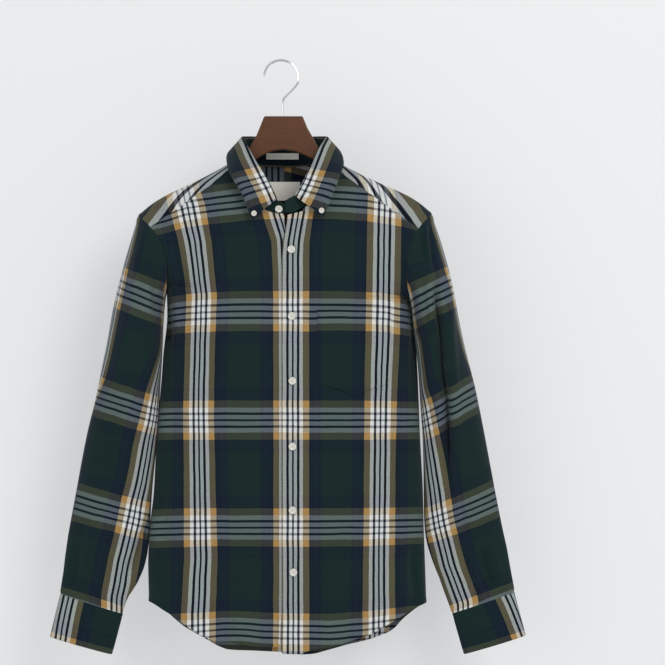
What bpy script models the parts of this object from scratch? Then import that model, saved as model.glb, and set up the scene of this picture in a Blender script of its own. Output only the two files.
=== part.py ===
# Flannel shirt on a wooden hanger.
#
# Every cloth piece is a thin wall between an outer and an inner skin, laid on a
# grid that is worked out from the sections in the tables below.  Lengths are in
# millimetres while the forms are worked out and in metres on the meshes.
# +X is the wearer's left, -Y is the front, +Z is up.  The origin is the inner
# top of the hook, where the hanger rests on whatever holds it.
import math

import bpy
import numpy as np

MM = 0.001
WALL = 1.6          # cloth wall
TRIM_WALL = 1.4     # pocket and placket wall
GAP = 0.3           # clearance between neighbouring pieces
DATUM = np.array([-1.5, 0.0, 3.2])   # where the hook rests, in the tables' own frame


def table(columns, rows):
    names = columns.split()
    return [dict(zip(names, row)) for row in rows]


def column(rows, name):
    return [row[name] for row in rows]


# ---------------------------------------------------------------- size tables
# Torso sections: half widths to each side edge, and how far the front and the
# back stand from the side seam, by height.
TORSO = table("z left right front back", [
    (-930, -210, 229, 46, 40),
    (-856, -210, 228, 47, 42),
    (-790, -211, 226, 49, 43),
    (-731, -208, 224, 50, 44),
    (-685, -203, 223, 52, 45),
    (-584, -197, 218, 55, 47),
    (-500, -190, 215, 58, 49),
    (-449, -186, 212, 60, 50),
    (-400, -181, 206, 61, 51),
    (-359, -182, 204, 61, 51),
])
# Front hem height by distance from the middle (the wearer's right front, then
# the left front, which hangs a little lower).
HEM_RIGHT_FRONT = table("x z", [
    (-215, -850), (-206, -852), (-186, -863), (-152, -884), (-118, -903),
    (-99, -909), (-75, -911), (-40, -916.5), (4, -918), (40, -918),
])
HEM_LEFT_FRONT = table("x z", [
    (0, -928), (18, -929), (30, -929), (42, -924), (77, -918), (113, -907),
    (138, -899), (157, -888.5), (172, -880.5), (186, -872), (205, -861), (232, -850),
])
HEM_BACK = table("x z", [
    (-216, -850), (-206, -855), (-158, -896), (-125, -916), (-108, -926), (-90, -933),
    (-45, -935.5), (0, -938), (27, -942), (45, -941), (69, -935), (104, -925),
    (136, -917), (158, -909), (174, -901), (190, -884), (208, -868), (232, -850),
])
# Sleeve rings from the armhole to the cuff: outer and inner edge, half depths
# to the front and the back, and how far the ring bows toward the neck.
SLEEVE_RIGHT = table("ox oz ix iz front back bow", [
    (-228, -242.5, -182, -359, 50, 50, 22),
    (-238, -276, -184.5, -372, 57, 54, 13),
    (-248, -311, -187, -388, 61, 58, 7),
    (-258, -351, -189.5, -412, 62, 60, 3),
    (-267, -389, -191, -437, 61, 60, 0),
    (-276, -438, -193.5, -472, 57, 57, 0),
    (-286, -485, -196.5, -511, 51, 52, 0),
    (-296, -535, -199, -553, 44, 45, 0),
    (-307, -584, -202, -598, 38, 38, 0),
    (-322, -664, -209, -676, 30, 29, 0),
    (-333.5, -721, -213, -729, 25, 24, 0),
    (-339, -750, -217, -763, 22, 21, 0),
    (-343, -777, -223, -791, 19, 18, 0),
    (-346, -803, -234, -821, 15, 14, 0),
    (-349, -827, -247, -853, 12, 12, 0),
    (-350.3, -839.5, -252, -871, 10.5, 10.5, 0),
])
SLEEVE_LEFT = table("ox oz ix iz front back bow", [
    (238, -239.5, 204, -375, 50, 50, 25),
    (251, -279, 206.5, -387, 57, 54, 14),
    (262, -319, 209, -404, 61, 58, 7),
    (270, -354, 212, -424, 62, 60, 3),
    (277, -386, 215, -446, 60, 59, 0),
    (286, -430, 218.5, -478, 56, 56, 0),
    (295, -468, 220.5, -510, 50, 51, 0),
    (305, -508, 222.5, -546, 44, 45, 0),
    (317, -568, 226.5, -600, 37, 37, 0),
    (333.6, -652, 229, -686, 29, 28, 0),
    (344, -706, 231, -736, 24, 23, 0),
    (350, -737, 236, -766, 21, 20, 0),
    (356.5, -768, 243.5, -795, 18, 17, 0),
    (361, -795, 252, -823, 15, 14, 0),
    (365.5, -822, 264, -856, 12, 12, 0),
    (367.5, -836.7, 269.5, -870.5, 10.5, 10.5, 0),
])
# Cuffs: the lower edge of each flat tube.
CUFF_EDGE = table("side ox oz ix iz", [
    ("right", -366.8, -908, -269.2, -935.7),
    ("left", 386, -905.7, 288.5, -935.3),
])
# Neckline, by turn round the neck from the front middle: point and depth.
NECK_RIGHT = table("turn x y z", [
    (0, 1, -57, -241), (20, -19, -56, -238), (40, -38, -49, -221), (60, -54, -36, -197),
    (78, -65, -19, -161.5), (100, -68, 4, -149.5), (125, -57, 27, -153), (155, -28, 43, -158), (180, 2.5, 46, -159),
])
NECK_LEFT = table("turn x y z", [
    (0, 8, -57, -242), (20, 30, -56, -236), (40, 49, -49, -219), (60, 64, -36, -195),
    (78, 73.5, -19, -160.5), (100, 76, 4, -148.5), (125, 64, 27, -152.5), (155, 33, 43, -158), (180, 2.5, 46, -159),
])
YOKE_TURN = 78      # where the front yoke seam meets the neckline
ARM_FRONT = 54      # where the front yoke seam meets the armhole, degrees round it
ARM_BACK = 66       # where the back yoke seam meets it
# Rise of the shoulder's ridge over the straight line from neck to shoulder tip.
SHOULDER_CROWN = 7.0
# Collar, from the front end round to the middle of the back: the fold on top of
# the stand, and the leaf's outer edge.
COLLAR_RIGHT = table("turn fx fy fz ex ey ez", [
    (14, -6, -61, -219.5, -44, -66, -251),
    (28, -11.5, -60, -208.5, -52, -66, -234),
    (42, -20.5, -55.5, -191, -62, -61, -209),
    (58, -39, -43, -161, -77.5, -48, -184),
    (75, -52.5, -25, -136.5, -85, -25, -166),
    (95, -60.5, -2, -120.5, -86, 1, -149),
    (120, -55, 24, -116.5, -73, 33, -148),
    (150, -30, 42, -115.5, -40, 54, -152),
    (180, 4, 48, -115.5, 4, 60, -154),
])
COLLAR_LEFT = table("turn fx fy fz ex ey ez", [
    (14, 21.5, -61, -215.5, 66, -66, -248),
    (28, 28.5, -60, -204, 74, -66, -228),
    (42, 36, -55.5, -189, 83, -61, -206),
    (58, 48.5, -43, -163, 93, -48, -178),
    (75, 59.5, -25, -137.5, 98, -25, -161),
    (95, 69, -2, -120.5, 93, 2, -147),
    (120, 63, 24, -116.5, 81, 33, -147),
    (150, 37, 42, -115.5, 47, 54, -152),
    (180, 4, 48, -115.5, 4, 60, -154),
])
# Front ends of the stand past the fold: base and top of the band.
STAND_END_RIGHT = table("bx by bz tx ty tz", [
    (2, -58.2, -238.5, 7, -59.8, -231), (-7, -58.2, -239.5, 1, -60.6, -224),
])
STAND_END_LEFT = table("bx by bz tx ty tz", [
    (5.5, -61.8, -240, 6, -62.8, -221.5), (13, -61.3, -240.5, 14.5, -62.8, -216.5), (22, -60, -239, 18, -62.5, -215),
])
# Placket: the edge on top by height; its sewn side is straight.
PLACKET_EDGE = table("z x", [
    (-928, 1.5), (-313, 1.5), (-284, 3.3), (-264, 7.5), (-241, 10.2),
])
PLACKET_SEAM = 34.0
UNDER_EDGE = table("z x", [(-918, -3.0), (-900, -2.2), (-866, 0.5), (-846, 8.0), (-820, 28.0), (-316, 28.0), (-290, 17.0), (-266, 6.5), (-243, 3.8)])
UNDER_STEP = 3.2    # how far the under front lies behind the placket
POCKET = table("x0 x1 top side point", [(56.7, 171.0, -389.5, -505.0, -523.5)])[0]
BUTTONS = table("name x z radius", [
    ("button_1", 16.0, -296.7, 6.0), ("button_2", 16.8, -400.6, 6.0), ("button_3", 17.7, -501.5, 6.0),
    ("button_4", 17.7, -603.9, 6.0), ("button_5", 17.7, -703.6, 6.0), ("button_6", 19.1, -800.7, 6.0),
])
# Hanger outline, half by half: the neck plate's sides and the tops and
# undersides of the arms.
HANGER_TOP_RIGHT = table("x z", [
    (-27, -84.2), (-28.6, -86), (-35.4, -103), (-41.4, -117.6), (-48.5, -128), (-55, -139), (-58.5, -151), (-63, -161), (-72, -165.5),
    (-98, -176), (-135.6, -196), (-163, -211), (-185, -225), (-203, -236), (-209, -246),
])
HANGER_UNDER_RIGHT = table("x z", [
    (-203, -250), (-185, -244), (-150, -228), (-105, -203), (-72, -180), (-58, -166), (-44, -154.5), (-31.4, -146.5), (-18.8, -140.5),
])
HANGER_TOP_LEFT = table("x z", [
    (32, -84.2), (33.7, -86), (40.5, -103), (49.1, -117.6), (55, -128), (61, -139), (66, -151), (71, -160.5), (80, -165),
    (98, -172.5), (139, -195), (161.5, -207), (181, -220), (206, -234), (213, -244),
])
HANGER_UNDER_LEFT = table("x z", [
    (207, -250), (190, -243), (155, -226), (110, -202), (80, -180), (65, -165), (51.8, -153.7), (38.2, -147), (22.4, -140.3),
])
HANGER_THICK = 12.0
WIRE = 1.8
HOOK_BEND = table("x z", [(26.2, -21), (25.6, -30), (21.5, -37), (17, -42), (10, -49), (4, -55), (1.5, -61), (1.1, -70)])


# ------------------------------------------------------------- curve functions
def smooth(rows, key, name, value):
    """Monotone cubic through a table's column."""
    xs = np.array(column(rows, key), float)
    ys = np.array(column(rows, name), float)
    if xs[0] > xs[-1]:
        xs, ys = xs[::-1], ys[::-1]
    h = np.diff(xs)
    d = np.diff(ys) / h
    m = np.zeros(len(xs))
    for i in range(1, len(xs) - 1):
        if d[i - 1] * d[i] > 0:
            w1, w2 = 2 * h[i] + h[i - 1], h[i] + 2 * h[i - 1]
            m[i] = (w1 + w2) / (w1 / d[i - 1] + w2 / d[i])
    m[0], m[-1] = d[0], d[-1]
    v = np.clip(value, xs[0], xs[-1])
    i = np.clip(np.searchsorted(xs, v) - 1, 0, len(h) - 1)
    t = (v - xs[i]) / h[i]
    return ((1 + 2 * t) * (1 - t) ** 2 * ys[i] + t * (1 - t) ** 2 * h[i] * m[i]
            + t * t * (3 - 2 * t) * ys[i + 1] + t * t * (t - 1) * h[i] * m[i + 1])


def ease(t):
    t = np.clip(t, 0.0, 1.0)
    return t * t * (3 - 2 * t)


def resample(points, count):
    """Equal steps along a line of points."""
    points = np.asarray(points, float)
    step = np.linalg.norm(np.diff(points, axis=0), axis=1)
    run = np.concatenate([[0.0], np.cumsum(step)])
    want = np.linspace(0, run[-1], count)
    return np.stack([np.interp(want, run, points[:, k]) for k in range(3)], axis=1)


def spline(points, count):
    """A smooth line through a few points, in equal steps."""
    p = np.asarray(points, float)
    p = np.vstack([2 * p[0] - p[1], p, 2 * p[-1] - p[-2]])
    out = []
    for i in range(1, len(p) - 2):
        for t in np.linspace(0, 1, 12, endpoint=False):
            out.append(0.5 * ((2 * p[i]) + (p[i + 1] - p[i - 1]) * t
                              + (2 * p[i - 1] - 5 * p[i] + 4 * p[i + 1] - p[i + 2]) * t ** 2
                              + (3 * p[i] - p[i - 1] - 3 * p[i + 1] + p[i + 2]) * t ** 3))
    out.append(p[-2])
    return resample(out, count)


# ------------------------------------------------------------------ the forms
SIDES = {"right": dict(sign=-1, edge="left", sleeve=SLEEVE_RIGHT, neck=NECK_RIGHT, collar=COLLAR_RIGHT, hem=HEM_RIGHT_FRONT),
         "left": dict(sign=1, edge="right", sleeve=SLEEVE_LEFT, neck=NECK_LEFT, collar=COLLAR_LEFT, hem=HEM_LEFT_FRONT)}


def torso(name, z):
    return smooth(TORSO, "z", name, z)


def ring_point(row, sign, turn):
    """A point on a sleeve ring: 0 is the outer edge, 90 the front, 180 the inner edge."""
    a = math.radians(turn)
    outer = np.array([row["ox"], 0.0, row["oz"]])
    inner = np.array([row["ix"], 0.0, row["iz"]])
    chord = inner - outer
    along = chord / np.linalg.norm(chord)
    across = np.array([-along[2], 0.0, along[0]]) * (-1 if sign < 0 else 1)
    if across[0] * sign > 0:
        across = -across
    s = math.sin(a)
    depth = row["front"] if s > 0 else row["back"]
    spread = abs(s) ** 0.9 * (1 if s > 0 else -1)
    return outer + chord * (1 - math.cos(a)) / 2 + across * row["bow"] * s * s + np.array([0.0, -depth * spread, 0.0])


def armhole(side, turn, neckward=0.4):
    """The armhole seam, drawn a little to the body's side of it or to the sleeve's."""
    row = SIDES[side]["sleeve"][0]
    sign = SIDES[side]["sign"]
    chord = np.array([row["ix"] - row["ox"], 0.0, row["iz"] - row["oz"]])
    chord /= np.linalg.norm(chord)
    toward = np.array([-sign * abs(chord[2]), 0.0, abs(chord[0])])
    return ring_point(row, sign, turn) + toward * neckward


def neck_point(side, turn):
    rows = SIDES[side]["neck"]
    return np.array([smooth(rows, "turn", k, turn) for k in "xyz"]).reshape(3)


def body_row(a, b, square, count, rise=0.0):
    """One row of a torso panel from the side a to the middle b, round at the side."""
    out = []
    for t in np.linspace(0, 1, 60):
        s = 1 - math.cos(t * math.pi / 2) ** (2 / max(square, 1.0)) if square > 1.01 else t
        y = a[1] + (b[1] - a[1]) * (1 - (1 - s) ** square) ** (1 / square)
        p = a + (b - a) * s
        p[1] = y - rise * math.sin(math.pi * s) * (1 if b[1] < 0 else -1)
        out.append(p)
    return resample(out, count)


def chest_row(a, b, wide, depth, q, count, rise):
    """A row above the armpit: q turns it from the chest's own round to a line from seam to seam."""
    out = []
    ts = np.linspace(0, 1, 60)
    sign = 1.0 if b[1] > 0 else -1.0
    for t in ts:
        s = (1 - math.cos(t * math.pi / 2)) ** 1.3
        p = a + (b - a) * s
        xi = min(1.0, abs(p[0]) / wide)
        full = sign * depth * (1 - xi ** 2.6) ** (1 / 2.6)
        full_a = sign * depth * (1 - min(1.0, abs(a[0]) / wide) ** 2.6) ** (1 / 2.6)
        full_b = sign * depth * (1 - min(1.0, abs(b[0]) / wide) ** 2.6) ** (1 / 2.6)
        round_y = full + (a[1] - full_a) * (1 - s) ** 5 + (b[1] - full_b) * s ** 2
        line_y = a[1] + (b[1] - a[1]) * s
        p[1] = round_y * (1 - q) + line_y * q + sign * rise * math.sin(math.pi * s)
        out.append(p)
    return resample(out, count)


def front_panel(side, columns, low_rows, mid_rows, edge_rows, neck_rows):
    """A front, hem to yoke seam: rows of points from the side or armhole to the front edge or neckline."""
    info = SIDES[side]
    sign = info["sign"]
    z_low, z_arm = -790.0, info["sleeve"][0]["iz"]
    edge_x = PLACKET_SEAM + sign * GAP / 2 if side == "left" else None
    grid = []

    def middle(z, hem_shift=0.0):
        x = edge_x if edge_x is not None else float(smooth(UNDER_EDGE, "z", "x", z))
        return np.array([x, -float(torso("front", max(z, z_arm if z > z_arm else z))), z])

    def line_to(a, b, count, above):
        if above is None:
            return body_row(a, b, 2.6, count)
        wide, q, rise = above
        return chest_row(a, b, wide, float(torso("front", z_arm)), q, count, rise)

    def to_edge(a, b, above=None):
        """A row that ends on the front edge; the under front steps back behind the placket."""
        if side == "left":
            return line_to(a, b, columns, above)
        seen = min(-6.0, b[0] - 8.0)
        mid = min(seen + 7.0, b[0] - 0.9)
        back = UNDER_STEP * float(ease((-250.0 - b[2]) / 30.0))
        row = line_to(a, np.array([seen, b[1], b[2] + (a[2] - b[2]) * 0.02]), columns - 2, above)
        return np.vstack([row, [[mid, b[1] + back, b[2]]], [[b[0], b[1] + back, b[2]]]])

    def base_row(z):
        a = np.array([float(torso(info["edge"], z)), 0.0, z])
        return to_edge(a, middle(z))

    low = base_row(z_low)
    for k in range(low_rows):
        t = k / low_rows
        row = []
        for c in range(columns):
            z_hem = float(smooth(info["hem"], "x", "z", low[c][0]))
            z = z_hem + (z_low - z_hem) * t
            row.append((z, c))
        row = [base_row(z)[c] for z, c in row]
        grid.append(row)
    for k in range(mid_rows):
        grid.append(base_row(z_low + (z_arm - z_low) * k / mid_rows))
    top_edge = []
    neck_start = neck_point(side, 0)
    start = middle(z_arm)
    if side == "left":
        first = neck_point(side, 22)
        first[0] = edge_x
        corner = first
        turn0 = 22
    else:
        corner = neck_start + np.array([2.8, 0, -1.5])
        turn0 = 0
    path = []
    for z in np.linspace(z_arm, corner[2], 30):
        m = middle(z)
        w = ease((z - z_arm) / (corner[2] - z_arm))
        m[1] = -float(torso("front", z_arm)) * (1 - w) + corner[1] * w
        path.append(m)
    path[-1] = corner
    edge = resample(path, edge_rows + 1)
    neck = resample([corner] + [neck_point(side, t) for t in np.linspace(turn0 + 4, YOKE_TURN, 24)], neck_rows + 1)
    inner = list(edge) + list(neck[1:])
    total = edge_rows + neck_rows
    arms = resample([armhole(side, t) for t in np.linspace(180, ARM_FRONT, 60)], total + 1)
    for k in range(total + 1):
        w = k / total
        above = (abs(float(torso(info["edge"], z_arm))) + 70.0 * float(ease(w / 0.35)), float(ease(w / 0.5)), 5.0 * float(ease(w / 0.4)) * (1 - w))
        if k == 0:
            grid.append(to_edge(arms[k], np.array(inner[k])))
        elif k <= edge_rows:
            grid.append(to_edge(arms[k], np.array(inner[k]), above))
        else:
            grid.append(line_to(arms[k], np.array(inner[k]), columns, above))
    return np.array(grid)


def back_panel(columns, low_rows, mid_rows, top_rows):
    z_low = -790.0
    grid = []

    def base_row(z, zl=None, zr=None):
        a = np.array([float(torso("left", z)), 0.0, z])
        b = np.array([float(torso("right", z)), 0.0, z])
        return back_row(a, b, 2.6, float(torso("back", z)), columns)

    low = base_row(z_low)
    for k in range(low_rows):
        t = k / low_rows
        row = []
        for c in range(columns):
            z_hem = float(smooth(HEM_BACK, "x", "z", low[c][0]))
            row.append(base_row(z_hem + (z_low - z_hem) * t)[c])
        grid.append(row)
    zl, zr = SLEEVE_RIGHT[0]["iz"], SLEEVE_LEFT[0]["iz"]
    for k in range(mid_rows):
        t = k / mid_rows
        z1, z2 = z_low + (zl - z_low) * t, z_low + (zr - z_low) * t
        a = np.array([float(torso("left", z1)), 0.0, z1])
        b = np.array([float(torso("right", z2)), 0.0, z2])
        grid.append(back_row(a, b, 2.6, float(torso("back", (z1 + z2) / 2)), columns))
    ls = resample([armhole("right", t) for t in np.linspace(180, 360 - ARM_BACK, 60)], top_rows + 1)
    rs = resample([armhole("left", t) for t in np.linspace(180, 360 - ARM_BACK, 60)], top_rows + 1)
    for k in range(top_rows + 1):
        w = k / top_rows
        climb = (ls[k][2] - ls[0][2]) / (ls[-1][2] - ls[0][2])
        flat = back_row(ls[k], rs[k], 2.6, 51.0 + 2.0 * climb, columns)
        if k == 0:
            grid.append(flat)
            continue
        wide = 193.0 + 70.0 * float(ease(w / 0.35))
        q = float(ease(w / 0.6))
        middle = 11.0
        for c in range(columns):
            s = c / (columns - 1)
            xi = min(1.0, abs(flat[c][0] - middle) / wide)
            full = 51.0 * (1 - xi ** 2.6) ** (1 / 2.6)
            ends = []
            for p in (ls[k], rs[k]):
                ends.append(p[1] - 51.0 * (1 - min(1.0, abs(p[0] - middle) / wide) ** 2.6) ** (1 / 2.6))
            full += ends[0] * (1 - s) ** 8 + ends[1] * s ** 8
            flat[c][1] = full * (1 - q) + flat[c][1] * q
        grid.append(flat)
    return np.array(grid)


def back_row(a, b, square, depth, count):
    out = []
    for t in np.linspace(0, 1, 120):
        s = 0.5 - 0.5 * math.copysign(abs(math.cos(math.pi * t)) ** (2 / square), math.cos(math.pi * t))
        p = a + (b - a) * s
        side_y = a[1] + (b[1] - a[1]) * s
        p[1] = side_y + (depth - side_y) * (1 - abs(1 - 2 * s) ** square) ** (1 / square)
        out.append(p)
    return resample(out, count)


def yoke_grid(arm_cells, back_cells, across):
    """Fan from the neckline out to the armholes and the back yoke seam."""
    rims = []
    turns_r = np.concatenate([np.linspace(ARM_FRONT, 0, arm_cells // 2 + 1), np.linspace(0, -ARM_BACK, arm_cells - arm_cells // 2 + 1)[1:]])
    for t in turns_r:
        rims.append(armhole("right", t))
    back_top = back_row(armhole("right", -ARM_BACK), armhole("left", -ARM_BACK), 2.6, 53.0, back_cells + 1)
    rims += list(back_top[1:-1])
    for t in turns_r[::-1]:
        rims.append(armhole("left", t))
    rims = np.array(rims)
    count = len(rims)
    neck = [neck_point("right", t) for t in np.linspace(YOKE_TURN, 180, 40)] + [neck_point("left", t) for t in np.linspace(180, YOKE_TURN, 40)[1:]]
    share = np.linalg.norm(np.diff(rims, axis=0), axis=1) ** 0.55
    arm_total = share[:arm_cells].sum()
    run = np.concatenate([[0], np.cumsum(share)])
    run /= run[-1]
    neck = np.array(neck)
    nrun = np.concatenate([[0], np.cumsum(np.linalg.norm(np.diff(neck, axis=0), axis=1))])
    nrun /= nrun[-1]
    # the ridge column starts at the neck's side point
    ridge_i = arm_cells // 2
    side_turn = 96
    knots_i = [0, ridge_i, count - 1 - ridge_i, count - 1]
    side_share = np.linalg.norm(neck - neck_point("right", side_turn), axis=1).argmin()
    side_share2 = np.linalg.norm(neck - neck_point("left", side_turn), axis=1).argmin()
    knots_n = [0.0, nrun[side_share], nrun[side_share2], 1.0]
    place = np.interp(run, [run[i] for i in knots_i], knots_n)
    starts = np.stack([np.interp(place, nrun, neck[:, k]) for k in range(3)], axis=1)
    grid = []
    for i in range(count):
        row = []
        d = min(abs(i - ridge_i), abs(i - (count - 1 - ridge_i)))
        crown = SHOULDER_CROWN * max(0.0, 1 - (d / 4.0) ** 2)
        for j in range(across + 1):
            t = j / across
            p = starts[i] + (rims[i] - starts[i]) * t
            p = p + np.array([0, 0, crown * math.sin(math.pi * t ** 2.8)])
            row.append(p)
        grid.append(row)
    return np.array(grid)


def sleeve_grid(side, per_ring):
    info = SIDES[side]
    rows = info["sleeve"]
    out = [[armhole(side, 360.0 * k / per_ring, -0.4) for k in range(per_ring)]]
    for row in rows[1:]:
        out.append([ring_point(row, info["sign"], 360.0 * k / per_ring) for k in range(per_ring)])
    return np.array(out)


def cuff_grid(side, per_ring, rows):
    info = SIDES[side]
    top = dict(info["sleeve"][-1])
    low = [r for r in CUFF_EDGE if r["side"] == side][0]
    out = []
    for k in range(rows + 1):
        t = k / rows
        row = {n: top[n] + (low[n] - top[n]) * t for n in ("ox", "oz", "ix", "iz")}
        row.update(front=10.5 + 1.5 * math.sin(math.pi * t), back=10.5 + 1.5 * math.sin(math.pi * t), bow=0)
        out.append([ring_point(row, info["sign"], 360.0 * j / per_ring) for j in range(per_ring)])
    return np.array(out)


def collar_line(side, which, count):
    rows = SIDES[side]["collar"]
    return spline([[r[which + "x"], r[which + "y"], r[which + "z"]] for r in rows], count)


def round_neck(right, left):
    """Joins the two halves of a line round the neck, right front end to left front end."""
    return np.array(list(right) + list(left[::-1][1:]))


def neck_base(count):
    """The stand's seam line, from front end to front end."""
    right = resample([neck_point("right", t) for t in np.linspace(14, 180, 50)], count)
    left = resample([neck_point("left", t) for t in np.linspace(22, 180, 50)], count)
    return round_neck(right, left)


# ------------------------------------------------------------- making solids
def skin_normals(grid, closed, away):
    """Outward directions on a grid of points; away tells the outer side at each point."""
    n_u, n_v = grid.shape[:2]
    du = np.empty_like(grid)
    dv = np.empty_like(grid)
    du[1:-1] = grid[2:] - grid[:-2]
    du[0] = grid[1] - grid[0]
    du[-1] = grid[-1] - grid[-2]
    if closed:
        dv = np.roll(grid, -1, axis=1) - np.roll(grid, 1, axis=1)
    else:
        dv[:, 1:-1] = grid[:, 2:] - grid[:, :-2]
        dv[:, 0] = grid[:, 1] - grid[:, 0]
        dv[:, -1] = grid[:, -1] - grid[:, -2]
    n = np.cross(du, dv)
    n /= np.maximum(np.linalg.norm(n, axis=2, keepdims=True), 1e-9)
    flip = np.sign(np.sum(n * away, axis=2, keepdims=True))
    flip[flip == 0] = 1
    if (flip > 0).mean() > 0.5:
        return n
    return -n


def material(name, colour, roughness=0.9, metallic=0.0):
    m = bpy.data.materials.new(name)
    m.use_nodes = True
    shader = m.node_tree.nodes["Principled BSDF"]
    shader.inputs["Base Color"].default_value = (*colour, 1.0)
    shader.inputs["Roughness"].default_value = roughness
    shader.inputs["Metallic"].default_value = metallic
    m.diffuse_color = (*colour, 1.0)
    return m


def add_mesh(name, points, faces, colour, roughness=0.9, metallic=0.0, smooth_shade=True):
    mesh = bpy.data.meshes.new(name)
    verts = [tuple((np.asarray(p) - DATUM) * MM) for p in points]
    mesh.from_pydata(verts, [], faces)
    mesh.validate()
    volume = 0.0
    v = np.array(verts)
    mesh.calc_loop_triangles()
    for t in mesh.loop_triangles:
        a, b, c = (v[i] for i in t.vertices)
        volume += float(np.dot(a, np.cross(b, c)))
    if volume < 0:
        mesh.flip_normals()
    if smooth_shade:
        mesh.shade_smooth()
        mesh.set_sharp_from_angle(angle=math.radians(40))
    obj = bpy.data.objects.new(name, mesh)
    obj.data.materials.append(material(name + "_stuff", colour, roughness, metallic))
    bpy.context.scene.collection.objects.link(obj)
    return obj


def shell(name, outer, inner, closed, colour, roughness=0.9):
    """A closed wall between two grids of points, open sheets or tubes alike."""
    n_u, n_v = outer.shape[:2]
    points = list(outer.reshape(-1, 3)) + list(inner.reshape(-1, 3))
    off = n_u * n_v
    faces = []

    def at(i, j):
        return i * n_v + (j % n_v)

    last = n_v if closed else n_v - 1
    for i in range(n_u - 1):
        for j in range(last):
            a, b, c, d = at(i, j), at(i, j + 1), at(i + 1, j + 1), at(i + 1, j)
            faces += [(a, b, c), (a, c, d), (off + a, off + c, off + b), (off + a, off + d, off + c)]
    for j in range(last):
        a, b = at(0, j), at(0, j + 1)
        faces += [(a, off + a, off + b), (a, off + b, b)]
        a, b = at(n_u - 1, j), at(n_u - 1, j + 1)
        faces += [(a, b, off + b), (a, off + b, off + a)]
    if not closed:
        for i in range(n_u - 1):
            a, d = at(i, 0), at(i + 1, 0)
            faces += [(a, d, off + d), (a, off + d, off + a)]
            a, d = at(i, n_v - 1), at(i + 1, n_v - 1)
            faces += [(a, off + d, d), (a, off + a, off + d)]
    return add_mesh(name, points, faces, colour, roughness)


def pull_in(grid, normals, gap, edges, closed=False):
    """Draws the named edges back along the cloth by half a seam's gap."""
    out = grid.copy()
    moves = {"first": (0, 1), "last": (-1, -2)}
    for e in edges:
        where, kind = e.split("_")
        i, k = moves[kind]
        if where == "row":
            d = grid[k] - grid[i]
            d /= np.linalg.norm(d, axis=1, keepdims=True)
            out[i] = out[i] + d * gap
        else:
            d = grid[:, k] - grid[:, i]
            d /= np.linalg.norm(d, axis=1, keepdims=True)
            out[:, i] = out[:, i] + d * gap
    return out


FLANNEL = (0.03, 0.05, 0.045)
FLANNEL_B = (0.10, 0.10, 0.075)


def arm_axis(side):
    """Direction in which each point of the armhole seam faces, shared by body and sleeve."""
    row = SIDES[side]["sleeve"][0]
    mid = np.array([(row["ox"] + row["ix"]) / 2, 0.0, (row["oz"] + row["iz"]) / 2])
    return mid


def seam_facing(side, turn, own=None):
    """Outward direction at the armhole seam: halfway between body and sleeve, and the piece's own in the armpit."""
    row = SIDES[side]["sleeve"][0]
    a = math.radians(turn)
    outer = np.array([row["ox"], 0.0, row["oz"]])
    inner = np.array([row["ix"], 0.0, row["iz"]])
    chord = (inner - outer) / np.linalg.norm(inner - outer)
    sign = SIDES[side]["sign"]
    second = SIDES[side]["sleeve"][1]
    down = ring_point(second, sign, turn) - ring_point(row, sign, turn)
    round_ = ring_point(row, sign, turn + 3) - ring_point(row, sign, turn - 3)
    sleeve = np.cross(down, round_)
    sleeve /= np.linalg.norm(sleeve)
    middle = np.array([(second["ox"] + second["ix"]) / 2, 0.0, (second["oz"] + second["iz"]) / 2])
    if np.dot(sleeve, ring_point(second, sign, turn) - middle) < 0:
        sleeve = -sleeve
    body = np.array([sign * (max(0.0, -math.cos(a)) + 0.4 * max(0.0, math.cos(a))), -math.sin(a), 0.9 * max(0.0, math.cos(a))])
    body /= np.linalg.norm(body)
    w = max(0.0, -math.cos(a)) ** 2
    d = sleeve * (1 - (w if own == "body" else 0.0)) + body * (1 - (w if own == "sleeve" else 0.0))
    return d / np.linalg.norm(d)


def yoke_seam_facing(side, count):
    """Outward direction along the front yoke seam, armhole to neck."""
    end = seam_facing(side, ARM_FRONT)
    out = []
    for t in np.linspace(0, 1, count):
        d = end * (1 - t) ** 3 + np.array([0.0, -0.78, 0.62]) * (1 - (1 - t) ** 3)
        out.append(d / np.linalg.norm(d))
    return np.array(out)


def blend_rim(normals, index, directions, axis, depth=2):
    """Turns the wall's directions toward a seam's own over a few rows."""
    for k in range(depth):
        w = 1 - k / depth
        i = index + k if index >= 0 else index - k
        if axis == 0:
            n = normals[i] * (1 - w) + directions * w
            normals[i] = n / np.linalg.norm(n, axis=1, keepdims=True)
        else:
            n = normals[:, i] * (1 - w) + directions * w
            normals[:, i] = n / np.linalg.norm(n, axis=1, keepdims=True)
    return normals


def build_front(side):
    grid = front_panel(side, 10 if side == "left" else 11, 4, 9, 5, 6)
    n_rows = grid.shape[0]
    away = np.zeros_like(grid)
    away[..., 1] = -1
    normals = skin_normals(grid, False, away)
    turns = np.linspace(180, ARM_FRONT, 12)
    arm_rows = 12
    start = n_rows - arm_rows
    # side seam: straight out; armhole: the seam's own facing
    side_dir = np.array([SIDES[side]["sign"], -0.15, 0.0])
    side_dir = side_dir / np.linalg.norm(side_dir)
    normals[:start, 0] = side_dir
    arms = resample([armhole(side, t) for t in np.linspace(180, ARM_FRONT, 60)], arm_rows)
    for k in range(arm_rows):
        best = min(np.linspace(180, ARM_FRONT, 127), key=lambda t: np.linalg.norm(armhole(side, t) - arms[k]))
        f = seam_facing(side, best, "body")
        normals[start + k, 0] = f
    top = yoke_seam_facing(side, grid.shape[1])
    normals[-1, 1:] = top[1:]
    grid = pull_in(grid, normals, GAP, ["row_last", "col_first", "col_last"])
    inner = grid - normals * WALL
    colour = FLANNEL if side == "left" else (0.04, 0.06, 0.055)
    return shell("front_" + side, grid, inner, False, colour), grid, normals


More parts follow.
